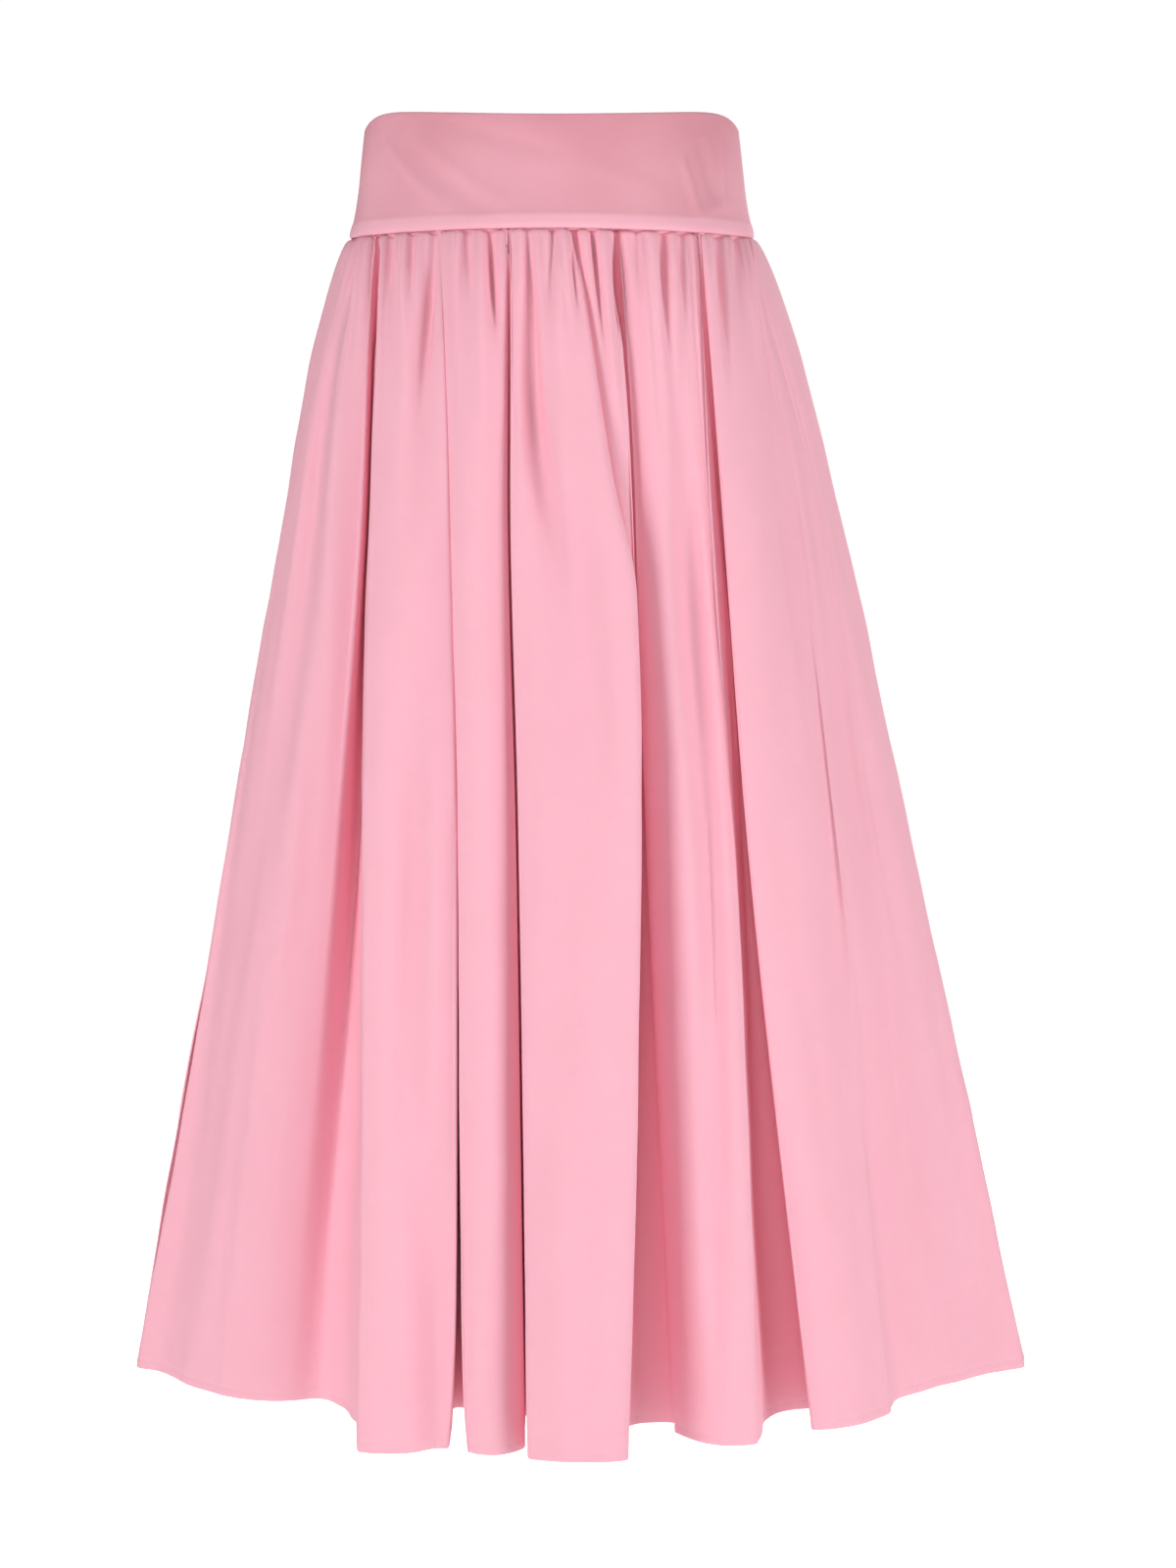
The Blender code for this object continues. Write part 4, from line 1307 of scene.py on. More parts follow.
    def fold_shade(self, grid: np.ndarray, heights: np.ndarray) -> np.ndarray:
        """How far the cloth lies inside the crests beside it, which darkens it with painted shade.

        The distance inwards from the furthest of the nearby columns, over fold_shade_depth and to
        a power, gives the share. It fades at the side edges and, by 1 - f h^p, down the skirt.

        Args:
            grid: the worked surface.
            heights: as a column.

        Returns:
            Shares by row and column, from 0 to 1.
        """
        depth = self.ring.half_depth(heights, Side.FRONT)
        across = (grid[..., 0] - self.ring.hem_shift * heights) / self.ring.half_width(heights)
        reach = depth * np.hypot(across, grid[..., 1] / depth)
        count = self.fold_shade_columns
        wide = np.pad(reach, ((0, 0), (count, count)), mode="edge")
        crest = np.lib.stride_tricks.sliding_window_view(wide, 2 * count + 1, axis=1).max(axis=-1)
        share = np.clip((crest - reach) / self.fold_shade_depth, 0, 1) ** self.fold_shade_power
        share = share * np.clip((1 - np.abs(across)) / self.fold_shade_side_reach, 0, 1)
        return share * (1 - self.fold_shade_fade * heights**self.fold_shade_fade_power)

    def turned_hem(self, grid: np.ndarray, normals: np.ndarray) -> list[np.ndarray]:
        """The rows that carry the cloth round the hem and up behind itself.

        Args:
            grid: the panel's outer face.
            normals: of that face.

        Returns:
            Blocks of rows, in their order.
        """
        onward = unit(grid[-1] - grid[-2])
        arc = folded_edge(grid[-1], normals[-1], onward, self.hem_depth, self.hem_arc_steps)
        inner = [row for row, rise in enumerate(self.hem_rows) if 0 < rise * MM <= self.hem_turn]
        behind = [grid[-1 - row] - normals[-1 - row] * self.hem_depth for row in inner[1::2]]
        return [arc, *[row[None] for row in behind]]

    def line_count(self) -> int:
        """How many corner lines the ring has."""
        return self.ring.corners(np.zeros((1, 1)))[0].shape[1]

    def seam_places(self) -> tuple[float, float, float, float]:
        """Where the seams stand round the ring.

        Returns:
            Places of the left side, the right side, the centre back and the left side again.
        """
        corners, right_tip = self.ring.corners(np.zeros((1, 1)))
        plan = self.ring.plan(corners, np.arange(corners.shape[1], dtype=float))[0]
        behind = np.where(plan[:, 1] > 0)[0]
        centre_back = behind[np.argmin(np.abs(plan[behind, 0]))]
        return 0.0, float(right_tip), float(centre_back), float(corners.shape[1])

    def build(self, finishes: "Finishes") -> list[bpy.types.Object]:
        """Builds and dresses the panels and the stitching of their hems.

        Args:
            finishes: the materials.

        Returns:
            The new pieces.
        """
        pieces = []
        lines = []
        seams = self.seam_places()
        for panel, first, last in zip(PANELS, seams, seams[1:]):
            places = self.places(first, last, panel.columns)
            piece, points, normals = self.build_panel(panel, places, finishes.cloth)
            pieces.append(piece)
            lines.append((points, normals))
        pieces.append(self.stitching.build("hem_stitching", lines, finishes.thread))
        return pieces


# ---------------------------------------------------------------------------- band


@dataclass
class Waistband:
    """The wide fitted band: cloth folded over the top edge, in three pieces."""

    waist_half_width: float = 0.127
    waist_half_depth: float = 0.094
    seam_half_width: float = SEAM_HALF_WIDTH
    seam_half_depth: float = SEAM_HALF_DEPTH
    height: float = BAND_HEIGHT
    side_rise: float = 0.005
    corner_dip: float = 0.012
    corner_power: int = 8
    seam_side_drop: float = SEAM_SIDE_DROP
    kick: float = 0.3
    kick_power: int = 4
    last_share: float = 0.95
    wall: float = 0.0007
    depth: float = 0.0020
    degrees_per_column: float = 1.0
    edge_degrees: Numbers = (0.12, 0.3)
    rows: int = 44
    crowding: float = 0.4
    inner_rows: int = 10
    arc_steps: int = 6
    seam_radius: float = 0.0012
    imprint_height: float = 0.00055
    imprint_rise: float = 0.0098
    imprint_softness: float = 0.0016 / 3
    slack_height: float = 0.00035
    slack_pitch: Numbers = (0.030, 0.024)
    calm_top: float = 0.06
    mean_radius: float = 0.118
    # Painted shade on the band: darkest at the top, none on the strip, with a random cloud in its
    # strength
    band_shade_shares: Numbers = (0.95, 0.55)
    band_shade_reach: float = 0.5
    band_shade_waves: Numbers = (4.5, 2.2)
    band_shade_cloud: float = 0.14

    def shares(self) -> np.ndarray:
        """The rows' shares of the height from the top, closer together at both edges.

        Returns:
            Shares from 0 to 1: even steps blended with (1 - cos(pi s)) / 2.
        """
        angle = np.linspace(0, math.pi, self.rows)
        even = np.linspace(0, 1, self.rows)
        return (1 - self.crowding) * even + self.crowding * (1 - np.cos(angle)) / 2

    def base(self, turn: np.ndarray, share: np.ndarray) -> np.ndarray:
        """The band's smooth outside: an elliptic cone that kicks out just above the seam.

        Args:
            turn: angles from centre front, by row and column.
            share: shares of the height from the top, by row and column.

        Returns:
            Points by row and column.
        """
        widened = np.minimum(share / self.last_share, 1)
        flare = (1 - self.kick) * widened + self.kick * widened**self.kick_power
        half_width = self.waist_half_width + (self.seam_half_width - self.waist_half_width) * flare
        half_depth = self.waist_half_depth + (self.seam_half_depth - self.waist_half_depth) * flare
        across = np.sin(turn) ** 2
        top = self.side_rise * across - self.corner_dip * across**self.corner_power
        bottom = -self.height - self.seam_side_drop * across
        x, y = half_width * np.sin(turn), -half_depth * np.cos(turn)
        return np.stack([x, y, top + (bottom - top) * share], axis=-1)

    def wrinkle_relief(self, turn: np.ndarray, share: np.ndarray) -> np.ndarray:
        """The soft wrinkles: Gaussian across, and a sine's root along their length.

        Args:
            turn: angles from centre front, by row and column.
            share: shares of the height from the top, by row and column.

        Returns:
            Heights by row and column.
        """
        place = np.stack([turn * self.mean_radius, share * self.height], axis=-1)
        total = np.zeros_like(share)
        for wrinkle in WRINKLES:
            ends = np.array([wrinkle.start, wrinkle.end])
            ends = ends * np.array([math.radians(1) * self.mean_radius, self.height])
            way = ends[1] - ends[0]
            length = np.linalg.norm(way)
            way = way / length
            along = np.clip(((place - ends[0]) @ way) / length, 0, 1)
            across = (place - ends[0]) @ np.array([-way[1], way[0]])
            fade = np.sqrt(np.sin(math.pi * along))
            section = np.exp(-((across / (wrinkle.half_width * MM)) ** 2))
            total += wrinkle.height * MM * fade * section
        return total

    def imprint(self, share: np.ndarray) -> np.ndarray:
        """The step up to the strip above the seam, 1 on the strip and 0 above it."""
        rise = (1 - share) * self.height
        return 1 / (1 + np.exp((rise - self.imprint_rise) / self.imprint_softness))

    def band_shade(self, turn: np.ndarray, share: np.ndarray) -> np.ndarray:
        """How much painted shade darkens the band: most at its top, none on the strip.

        Args:
            turn: angles from centre front, by row and column.
            share: shares of the height from the top, by row and column.

        Returns:
            Shares by row and column.
        """
        top, bottom = self.band_shade_shares
        tone = top + (bottom - top) * np.minimum(share / self.band_shade_reach, 1)
        waves_round, waves_down = self.band_shade_waves
        cloud = soft_noise(turn * waves_round, share * waves_down, Seed.BAND_TONE)
        return np.clip(tone + self.band_shade_cloud * cloud, 0, 1) * (1 - self.imprint(share))

    def relief(self, turn: np.ndarray, share: np.ndarray) -> np.ndarray:
        """Wrinkles, slack and the print of the seam allowance inside.

        Args:
            turn: angles from centre front, by row and column.
            share: shares of the height from the top, by row and column.

        Returns:
            Heights by row and column.
        """
        u, v = turn * self.mean_radius, share * self.height
        slack = cloth_noise(u, v, self.slack_pitch, Seed.BAND_SLACK)
        rise = (1 - share) * self.height
        calm = np.clip(rise / self.imprint_rise, 0, 1) * np.clip(share / self.calm_top, 0, 1)
        moving = self.slack_height * slack + self.wrinkle_relief(turn, share)
        return moving * calm + self.imprint_height * self.imprint(share)

    def build_piece(
        self, name: str, node: str, start: float, end: float, material: bpy.types.Material
    ) -> bpy.types.Object:
        """One piece of the band between two angles from centre front.

        Args:
            name: of the piece.
            node: the solid that it stands for.
            start: first angle, in degrees.
            end: last angle, in degrees.
            material: the cloth's finish.

        Returns:
            The new piece.
        """
        edge = np.array(self.edge_degrees)
        columns = np.arange(start, end + 0.5 * self.degrees_per_column, self.degrees_per_column)
        columns = np.sort(np.concatenate([columns, start + edge, end - edge]))
        turn, share = np.meshgrid(np.radians(columns), self.shares())
        grid = self.base(turn, share)
        normals = surface_normals(grid)
        grid = grid + normals * self.relief(turn, share)[..., None]
        around = lengths_along(grid, axis=1)
        nearest = np.minimum(around, around[:, -1:] - around)
        above_seam = (1 - share) * self.height
        depth = rounded_in(nearest, self.seam_radius) + rounded_in(above_seam, self.seam_radius)
        grid = grid - normals * depth[..., None]
        normals = surface_normals(grid)
        up = np.array([0, 0, 1.0])
        arc = folded_edge(grid[0], normals[0], up, self.depth, self.arc_steps)[::-1]
        chosen = np.linspace(len(grid) - 1, 1, self.inner_rows).round().astype(int)
        inner = grid[chosen] - normals[chosen] * self.depth
        surface = np.concatenate([inner, arc, grid])
        before = len(surface) - len(grid)
        # Painted shade on the band, carried as an attribute
        band_shade = np.pad(self.band_shade(turn, share), ((before, 0), (0, 0)), mode="edge")
        across = turn[0] * self.mean_radius
        piece = new_cloth(name, surface, across, material, self.wall, band_shade)
        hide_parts(node)
        return piece

    def build(self, finishes: "Finishes") -> list[bpy.types.Object]:
        """Builds and dresses the three pieces.

        Args:
            finishes: the materials.

        Returns:
            The new pieces.
        """
        pieces = (
            ("waistband_front", "band_front", -90, 90),
            ("waistband_back_right", "band_back_right", 90, 180),
            ("waistband_back_left", "band_back_left", 180, 270),
        )
        return [self.build_piece(*piece, finishes.band) for piece in pieces]


# ---------------------------------------------------------------------------- zip


@dataclass
class ConcealedZip:
    """The zip behind the centre back seam: a woven tape with its coil, slider and pull."""

    length: float = 0.2130
    width: float = 0.0220
    wall: float = 0.0006
    columns: int = 23
    rows: int = 360
    coil_half_width: float = 0.0022
    coil_height: float = 0.0009
    coil_pitch: float = 0.0012
    rib_share: float = 0.35
    edge_set_back: float = 0.0005
    level_digits: int = 4

    def outer_face(self) -> tuple[np.ndarray, np.ndarray]:
        """Where the outer face of the tape's solid stands, in its middle half.

        Returns:
            Its levels, rising, and its y at each.
        """
        node = bpy.data.objects["zip_tape"]
        places = np.empty(3 * len(node.data.vertices), np.float32)
        node.data.vertices.foreach_get("co", places)
        places = places.reshape(-1, 3)
        places = places[np.abs(places[:, 0]) < self.width / 4]
        levels, level = np.unique(places[:, 2].round(self.level_digits), return_inverse=True)
        outside = np.full(len(levels), -np.inf)
        np.maximum.at(outside, level, places[:, 1])
        return levels, outside

    def build_tape(self, material: bpy.types.Material) -> bpy.types.Object:
        """The tape, with its coil standing out of it towards the inside.

        Its outer face follows the solid's and falls back a little towards its edges. The
        coil's section is half an ellipse, times ribs of 1 - s cos^2(2 pi z / pitch).

        Args:
            material: the tape's finish.

        Returns:
            The new piece.
        """
        levels, outside = self.outer_face()
        low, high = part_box("zip_tape")
        z = np.linspace(high.z, low.z, self.rows)[:, None]
        x = np.linspace(self.width / 2, -self.width / 2, self.columns)[None, :]
        set_back = self.edge_set_back * np.abs(x) / (self.width / 2)
        y = np.interp(z, levels, outside) - set_back
        raised = np.sqrt(np.clip(1 - (x / self.coil_half_width) ** 2, 0, 1))
        ribs = 1 - self.rib_share * np.cos(2 * math.pi * z / self.coil_pitch) ** 2
        grid = np.stack(np.broadcast_arrays(x, y - self.coil_height * raised * ribs, z), axis=-1)
        grid[..., 1] -= self.wall
        uv = grid[..., [0, 2]].reshape(-1, 2)
        quads = grid_quads(*grid.shape[:2])
        tape = new_piece("zip_tape_woven", grid.reshape(-1, 3), quads, material, uv)
        add_wall(tape, -self.wall)
        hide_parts("zip_tape")
        return tape

    def build(self, finishes: "Finishes") -> list[bpy.types.Object]:
        """Builds the tape and dresses the solids of the slider and the pull.

        Args:
            finishes: the materials.

        Returns:
            The pieces, new and carried over.
        """
        pieces = [self.build_tape(finishes.tape)]
        for name in ("zip_slider", "zip_pull"):
            carried = bpy.data.objects[name]
            carried.data.materials.clear()
            carried.data.materials.append(finishes.metal)
            pieces.append(carried)
        return pieces


# ---------------------------------------------------------------------------- finishes


@dataclass
class ShaderSheet:
    """A node tree with short calls for adding nodes and joining their sockets."""

    tree: bpy.types.NodeTree

    def add(self, kind: str, **settings: object) -> bpy.types.Node:
        """Adds a node.

        Args:
            kind: of node.
            settings: its attributes by name.

        Returns:
            The new node.
        """
        node = self.tree.nodes.new(kind)
        for name, value in settings.items():
            setattr(node, name, value)
        return node

    def join(self, source: object, target: bpy.types.NodeSocket) -> None:
        """Links a socket to a target, or sets the target to a plain value.

        Args:
            source: the socket or the value.
            target: an input.
        """
        if isinstance(source, bpy.types.NodeSocket):
            self.tree.links.new(source, target)
        else:
            target.default_value = source

    def feed(self, node: bpy.types.Node, sources: dict[str, object]) -> None:
        """Links or sets several inputs of a node.

        Args:
            node: the one with the inputs.
            sources: sockets or values by the inputs' names.
        """
        for name, source in sources.items():
            self.join(source, node.inputs[name])

    def math(self, operation: str, *values: object) -> bpy.types.NodeSocket:
        """Adds a math node.

        Args:
            operation: its kind.
            values: sockets or numbers for its inputs, in order.

        Returns:
            Its output.
        """
        node = self.add("ShaderNodeMath", operation=operation)
        for value, socket in zip(values, node.inputs):
            self.join(value, socket)
        return node.outputs[0]

    def noise(
        self, vector: bpy.types.NodeSocket, scale: object, detail: float
    ) -> bpy.types.NodeSocket:
        """Adds a noise texture.

        Args:
            vector: the coordinates that it reads.
            scale: of the noise, a number or a socket.
            detail: how many finer layers it has.

        Returns:
            Its value, from 0 to 1.
        """
        node = self.add("ShaderNodeTexNoise")
        self.feed(node, {"Vector": vector, "Scale": scale, "Detail": detail})
        return node.outputs[0]

    def blend(self, share: object, first: object, second: object) -> bpy.types.NodeSocket:
        """Mixes two colours.

        Args:
            share: of the second, a number or a socket.
            first: a colour or a socket.
            second: a colour or a socket.

        Returns:
            The mixed colour.
        """
        node = self.add("ShaderNodeMix", data_type="RGBA")
        for source, place in ((share, 0), (first, 6), (second, 7)):
            self.join(source, node.inputs[place])
        return node.outputs[2]

    def group(self, tree: bpy.types.NodeTree, sources: dict[str, object]) -> bpy.types.Node:
        """Places a shared group.

        Args:
            tree: the group.
            sources: sockets or values by the group's input names.

        Returns:
            The group's node.
        """
        node = self.add("ShaderNodeGroup", node_tree=tree)
        self.feed(node, sources)
        return node

    def bump(
        self, height: bpy.types.NodeSocket, distance: float, strength: float = 1.0
    ) -> bpy.types.NodeSocket:
        """Adds a bump.

        Args:
            height: the socket with its height.
            distance: what a height of 1 stands for.
            strength: how much of it shows.

        Returns:
            The bumped normal.
        """
        node = self.add("ShaderNodeBump")
        self.feed(node, {"Height": height, "Distance": distance, "Strength": strength})
        return node.outputs[0]


def new_group(
    name: str, inputs: dict[str, str], outputs: tuple[str, ...]
) -> tuple[ShaderSheet, bpy.types.Node, bpy.types.Node]:
    """Starts a shared node group.

    Args:
        name: of the group.
        inputs: kinds of its input sockets, by name.
        outputs: names of its value outputs.

    Returns:
        Its sheet, its input node and its output node.
    """
    sheet = ShaderSheet(bpy.data.node_groups.new(name, "ShaderNodeTree"))
    face = sheet.tree.interface
    for socket, kind in inputs.items():
        face.new_socket(socket, in_out="INPUT", socket_type=kind)
    for socket in outputs:
        face.new_socket(socket, in_out="OUTPUT", socket_type="NodeSocketFloat")
    return sheet, sheet.add("NodeGroupInput"), sheet.add("NodeGroupOutput")


def new_material(name: str) -> tuple[bpy.types.Material, ShaderSheet, bpy.types.Node]:
    """Starts a material.

    Args:
        name: of the material.

    Returns:
        The material, its sheet and its Principled shader.
    """
    material = bpy.data.materials.new(name)
    material.use_nodes = True
    return material, ShaderSheet(material.node_tree), material.node_tree.nodes["Principled BSDF"]


@dataclass(frozen=True)
class WovenThreads:
    """The shared weave: crossing threads with slubs, and a fine crinkle over them.

    With p the thread's spacing, the warp's height is |sin(pi x / p)| and the weft's is
    |sin(pi y / p)|; the larger of the two shows. Stretched noise thickens some threads, and
    a finer round noise gives the crinkle.
    """

    slub_stretches: tuple[Numbers, ...] = ((1600.0, 60.0, 1.0), (60.0, 1600.0, 1.0))
    crinkle_scale: float = 520.0
    weave_height: float = 0.25
    slub_height: float = 0.35
    crinkle_height: float = 0.9
    weave_tone: float = 0.18
    slub_tone: float = 0.5

    def build(self) -> bpy.types.NodeTree:
        """Builds the group.

        Returns:
            The group, with Coordinates and Thread in, and Height and Tone out.
        """
        inputs = {"Coordinates": "NodeSocketVector", "Thread": "NodeSocketFloat"}
        sheet, entry, leave = new_group("woven_threads", inputs, ("Height", "Tone"))
        place = entry.outputs["Coordinates"]
        split = sheet.add("ShaderNodeSeparateXYZ")
        sheet.join(place, split.inputs[0])
        turn = sheet.math("DIVIDE", math.pi, entry.outputs["Thread"])
        threads = []
        for axis in (0, 1):
            angle = sheet.math("MULTIPLY", split.outputs[axis], turn)
            threads.append(sheet.math("ABSOLUTE", sheet.math("SINE", angle)))
        weave = sheet.math("MAXIMUM", *threads)
        slubs = []
        for stretch in self.slub_stretches:
            mapping = sheet.add("ShaderNodeMapping")
            sheet.feed(mapping, {"Vector": place, "Scale": stretch})
            slubs.append(sheet.noise(mapping.outputs[0], 1.0, 1.0))
        slub = sheet.math("ADD", *slubs)
        crinkle = sheet.noise(place, self.crinkle_scale, 2.0)
        height = sheet.math("MULTIPLY", slub, self.slub_height)
        height = sheet.math("MULTIPLY_ADD", weave, self.weave_height, height)
        height = sheet.math("MULTIPLY_ADD", crinkle, self.crinkle_height, height)
        tone = sheet.math("MULTIPLY", weave, self.weave_tone)
        tone = sheet.math("MULTIPLY_ADD", slub, self.slub_tone, tone)
        sheet.feed(leave, {"Height": height, "Tone": tone})
        return sheet.tree


@dataclass(frozen=True)
class SoftMottle:
    """The shared slow drift of tone over a surface: two sizes of noise, averaged."""

    fineness: float = 4.3  # of the closer noise against the broader one

    def build(self) -> bpy.types.NodeTree:
        """Builds the group.

        Returns:
            The group, with Coordinates and Size in, and Tone out.
        """
        inputs = {"Coordinates": "NodeSocketVector", "Size": "NodeSocketFloat"}
        sheet, entry, leave = new_group("soft_mottle", inputs, ("Tone",))
        scale = sheet.math("DIVIDE", 1.0, entry.outputs["Size"])
        broad = sheet.noise(entry.outputs["Coordinates"], scale, 1.0)
        close_scale = sheet.math("MULTIPLY", scale, self.fineness)
        close = sheet.noise(entry.outputs["Coordinates"], close_scale, 2.0)
        tone = sheet.math("MULTIPLY", sheet.math("ADD", broad, close), 0.5)
        sheet.join(tone, leave.inputs["Tone"])
        return sheet.tree


@dataclass(frozen=True)
class ClothFinish:
    """A woven finish: its two tones, thread, relief, sheen and the colour of its painted shade."""

    name: str
    shade: Numbers  # the darker tone, linear
    tint: Numbers  # the lighter tone, linear
    # The deep colour is painted shade, mixed in where the piece's painted shade attribute is high
    deep: Numbers = (0.81, 0.36, 0.45)  # inside the folds, linear
    painted_shade_share: float = 0.55
    contrast: float = 0.9
    thread: float = 0.00042
    relief: float = 0.00010
    relief_strength: float = 0.8
    roughness: float = 0.78
    sheen: float = 0.12
    sheen_roughness: float = 0.5
    sheen_tint: Numbers = (1.0, 0.86, 0.90)
    specular: float = 0.22
    mottle_size: float = 0.045
    follows_cloth: bool = True

    def build(self, weave: bpy.types.NodeTree, mottle: bpy.types.NodeTree) -> bpy.types.Material:
        """Builds the material.

        Args:
            weave: the woven_threads group.
            mottle: the soft_mottle group.

        Returns:
            A Principled material. Its threads follow the cloth's coordinates, or the
            object's where the piece has none.
        """
        material, sheet, shader = new_material(self.name)
        space = sheet.add("ShaderNodeTexCoord").outputs["Object"]
        along = space
        if self.follows_cloth:
            along = sheet.add("ShaderNodeUVMap", uv_map=CLOTH_UV).outputs[0]
        threads = sheet.group(weave, {"Coordinates": along, "Thread": self.thread})
        drift = sheet.group(mottle, {"Coordinates": space, "Size": self.mottle_size})
        tone = sheet.math("ADD", threads.outputs["Tone"], drift.outputs["Tone"])
        tone = sheet.math("MULTIPLY_ADD", tone, self.contrast, -self.contrast / 2)
        colour = sheet.blend(tone, (*self.shade, 1.0), (*self.tint, 1.0))
        # Painted shade: the colour turns towards the deep one by the piece's attribute
        folded = sheet.add("ShaderNodeAttribute", attribute_name=PAINTED_SHADE).outputs["Fac"]
        folded = sheet.math("MULTIPLY", folded, self.painted_shade_share)
        colour = sheet.blend(folded, colour, (*self.deep, 1.0))
        sheet.feed(shader, {
            "Base Color": colour,
            "Normal": sheet.bump(threads.outputs["Height"], self.relief, self.relief_strength),
            "Roughness": self.roughness,
            "Specular IOR Level": self.specular,
            "Sheen Weight": self.sheen,
            "Sheen Roughness": self.sheen_roughness,
            "Sheen Tint": (*self.sheen_tint, 1.0),
        })
        return material


@dataclass(frozen=True)
class MetalFinish:
    """A satin enamel on metal, rubbed a little thinner where hands touch it."""

    name: str
    enamel: Numbers  # linear
    rubbed: Numbers  # where it is thinner, linear
    rubbed_from: Numbers = (0.56, 0.72)  # tones of the mottle
    roughness: Numbers = (0.30, 0.46)
    metallic: float = 0.55
    relief: float = 0.00003
    mottle_size: float = 0.0024

    def build(self, mottle: bpy.types.NodeTree) -> bpy.types.Material:
        """Builds the material.

        Args:
            mottle: the soft_mottle group.

        Returns:
            A Principled material on Object coordinates.
        """
        material, sheet, shader = new_material(self.name)
        space = sheet.add("ShaderNodeTexCoord").outputs["Object"]
        drift = sheet.group(mottle, {"Coordinates": space, "Size": self.mottle_size})
        tone = drift.outputs["Tone"]
        first, last = self.rubbed_from
        worn = sheet.add("ShaderNodeMapRange")
        sheet.feed(worn, {"Value": tone, "From Min": first, "From Max": last})
        low, high = self.roughness
        sheet.feed(shader, {
            "Base Color": sheet.blend(
                worn.outputs[0], (*self.enamel, 1.0), (*self.rubbed, 1.0)
            ),
            "Roughness": sheet.math("MULTIPLY_ADD", tone, high - low, low),
            "Normal": sheet.bump(tone, self.relief),
            "Metallic": self.metallic,
        })
        return material


@dataclass
class Finishes:
    """The materials, built once."""

    cloth: bpy.types.Material
    band: bpy.types.Material
    thread: bpy.types.Material
    tape: bpy.types.Material
    metal: bpy.types.Material

    @classmethod
    def build(cls) -> "Finishes":
        """Builds the shared groups and every material.

        Returns:
            The materials.
        """
        weave = WovenThreads().build()
        mottle = SoftMottle().build()
        cloth = ClothFinish("pink_cotton", (0.880, 0.425, 0.512), (0.920, 0.468, 0.560))
        # The band's deep colour is painted shade, strongest towards its top
        band = ClothFinish(
            "pink_cotton_band", (0.880, 0.425, 0.512), (0.920, 0.468, 0.560),
            deep=(0.70, 0.295, 0.355), painted_shade_share=1.0,
        )
        thread = ClothFinish(
            "pink_thread", (0.84, 0.45, 0.53), (0.90, 0.55, 0.62), thread=0.0002,
            roughness=0.6, sheen=0.2, follows_cloth=False,
        )
        tape = ClothFinish(
            "pink_zip_tape", (0.72, 0.32, 0.40), (0.78, 0.38, 0.46), thread=0.0009,
            relief=0.00016, roughness=0.7,
        )
        metal = MetalFinish("pink_enamel", (0.62, 0.27, 0.35), (0.72, 0.50, 0.53))
        return cls(
            cloth.build(weave, mottle),
            band.build(weave, mottle),
            thread.build(weave, mottle),
            tape.build(weave, mottle),
            metal.build(mottle),
        )


# ---------------------------------------------------------------------------- studio


@dataclass(frozen=True)
class SoftLight:
    """A square soft light that faces a point."""

    name: str
    place: Numbers
    aim: Numbers
    size: float
    power: float

    def build(self) -> None:
        """Puts the light into the scene."""
        data = bpy.data.lights.new(self.name, "AREA")
        data.size = self.size
        data.energy = self.power
        light = put_in_scene(self.name, data)
        light.location = self.place
        way = Vector(self.aim) - Vector(self.place)
        light.rotation_euler = way.to_track_quat("-Z", "Y").to_euler()


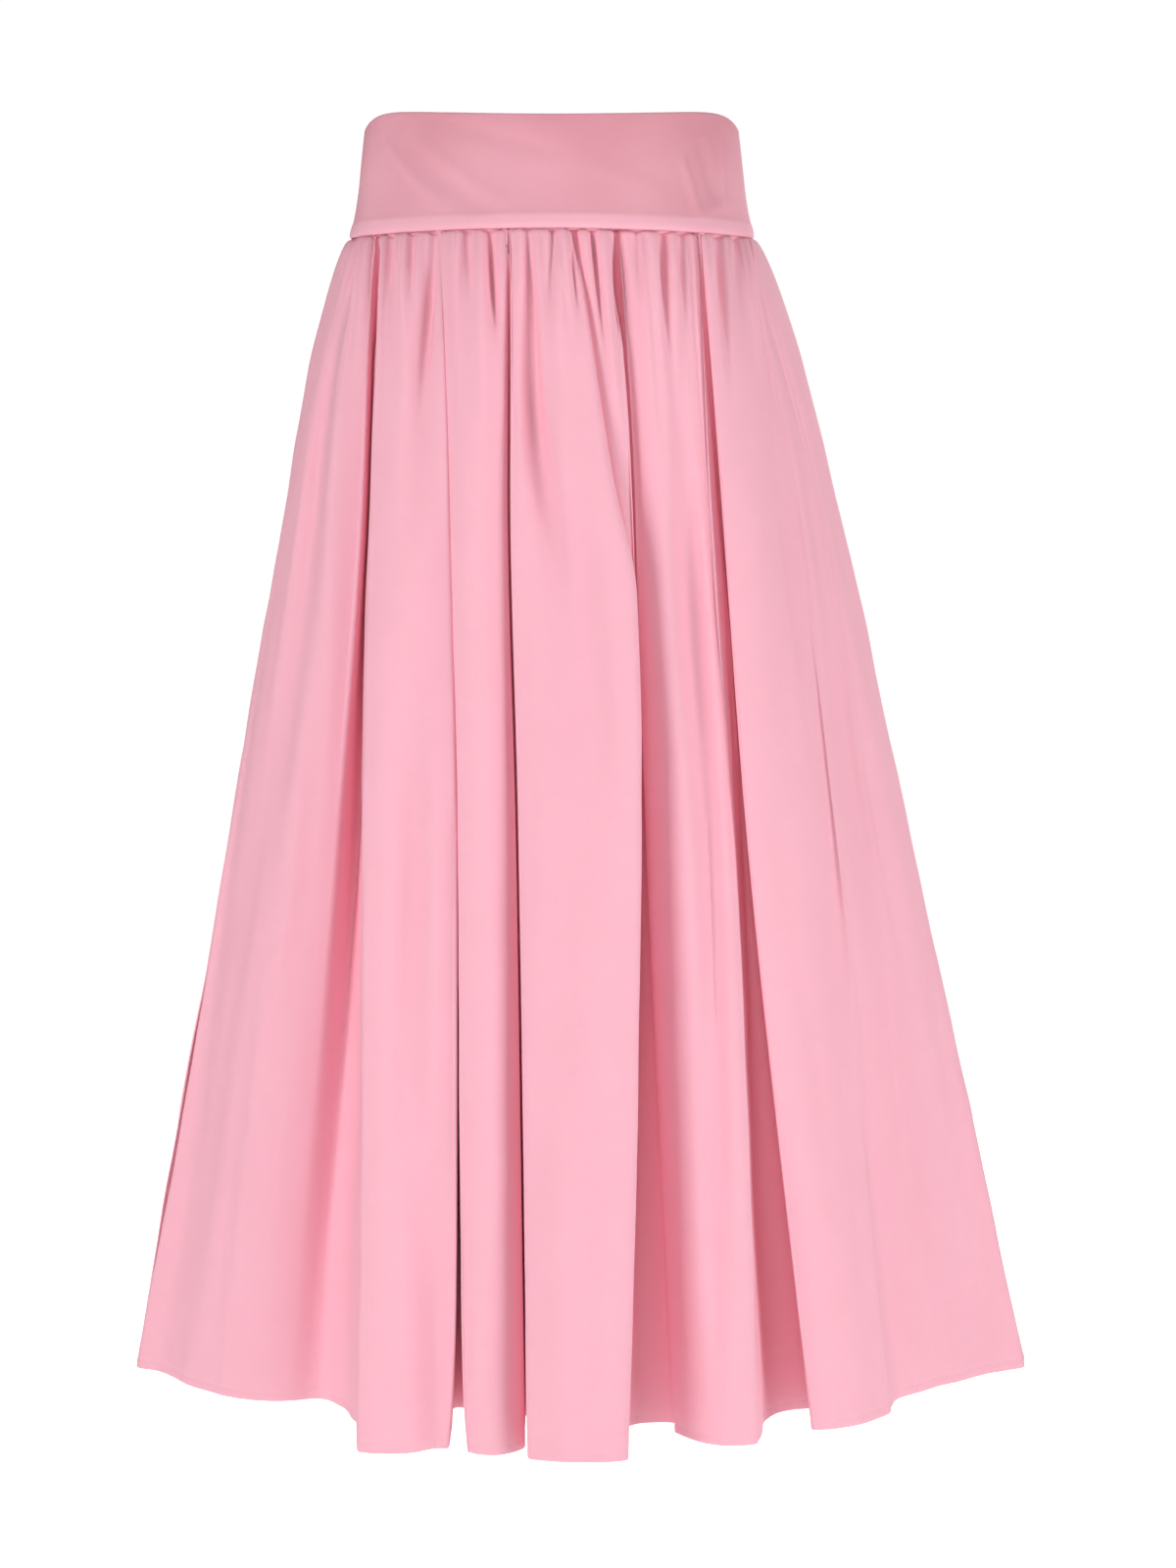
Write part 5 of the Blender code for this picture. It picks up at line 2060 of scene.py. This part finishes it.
@dataclass(frozen=True)
class Studio:
    """The pale floor, soft lights and camera.

    The camera sees the floor and the sky brighter than the light that they give.
    """

    floor_gap: float = 0.35
    floor_half: float = 2.4
    floor_tone: float = 0.90
    floor_roughness: float = 0.9
    floor_glow: float = 0.25
    floor_seen_glow: float = 0.80
    sky_strength: float = 0.12
    backdrop_strength: float = 1.02
    camera_place: Numbers = (0.0246, -2.5, -0.13814)
    camera_tilt: float = 82.843
    focal_length: float = 83.376
    cloth_bounces: int = 10
    lights: tuple[SoftLight, ...] = (
        SoftLight("front_light", (-0.2, -3.0, 0.1), (0, 0, -0.45), 1.2, 12.9),
        SoftLight("left_light", (-2.0, -1.9, 0.2), (0, 0, -0.45), 1.0, 42.0),
        SoftLight("right_light", (2.3, -1.3, 0.0), (0, 0, -0.45), 1.5, 40.5),
        SoftLight("back_light", (0.5, 2.6, 0.5), (0, 0, -0.5), 1.8, 54.0),
    )

    def glow(self, sheet: ShaderSheet, seen: float, given: float) -> bpy.types.NodeSocket:
        """The strength of a surface that looks brighter than the light it gives.

        Args:
            sheet: the node tree that it belongs to.
            seen: what the camera sees.
            given: what lights the scene.

        Returns:
            The socket with the strength.
        """
        looking = sheet.add("ShaderNodeLightPath").outputs["Is Camera Ray"]
        return sheet.math("MULTIPLY_ADD", looking, seen - given, given)

    def build_floor(self, top: float) -> None:
        """Builds the floor, a plain pale square under the hem.

        Args:
            top: its height.
        """
        half = self.floor_half
        mesh = bpy.data.meshes.new("studio_floor")
        corners = [(-half, -half, top), (half, -half, top), (half, half, top), (-half, half, top)]
        mesh.from_pydata(corners, [], [(0, 1, 2, 3)])
        material, sheet, shader = new_material("pale_floor")
        sheet.feed(shader, {
            "Base Color": (self.floor_tone, self.floor_tone, self.floor_tone, 1.0),
            "Roughness": self.floor_roughness,
            "Emission Color": WHITE,
            "Emission Strength": self.glow(sheet, self.floor_seen_glow, self.floor_glow),
        })
        mesh.materials.append(material)
        floor = put_in_scene("studio_floor", mesh)
        floor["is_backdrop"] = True

    def build_sky(self) -> None:
        """Builds the even white surroundings."""
        world = bpy.data.worlds.new("studio_white")
        world.use_nodes = True
        sheet = ShaderSheet(world.node_tree)
        strength = self.glow(sheet, self.backdrop_strength, self.sky_strength)
        shade = world.node_tree.nodes["Background"]
        sheet.feed(shade, {"Color": WHITE, "Strength": strength})
        bpy.context.scene.world = world

    def build_camera(self) -> None:
        """Builds the camera, at the photograph's distance and tilt."""
        data = bpy.data.cameras.new("photo_camera")
        data.lens = self.focal_length
        camera = put_in_scene("photo_camera", data)
        camera.location = self.camera_place
        camera.rotation_euler = (math.radians(self.camera_tilt), 0, 0)
        bpy.context.scene.camera = camera

    def build(self, lowest: float) -> None:
        """Builds everything round the skirt.

        Args:
            lowest: the height of the skirt's lowest point.
        """
        self.build_floor(lowest - self.floor_gap)
        self.build_sky()
        self.build_camera()
        for light in self.lights:
            light.build()
        bpy.context.scene.view_settings.view_transform = "Standard"
        bpy.context.scene.cycles.diffuse_bounces = self.cloth_bounces


def main() -> None:
    """Builds the pieces in order and reports each one."""
    logging.basicConfig(level=logging.INFO, format="%(name)s: %(message)s")
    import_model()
    solid_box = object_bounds()
    finishes = Finishes.build()
    for assembly in (Waistband(), Skirt(), ConcealedZip()):
        for piece in assembly.build(finishes):
            LOG.info("%s: %d faces", piece.name, len(piece.data.polygons))
    Studio().build(solid_box[0].z)


if __name__ == "__main__":
    main()
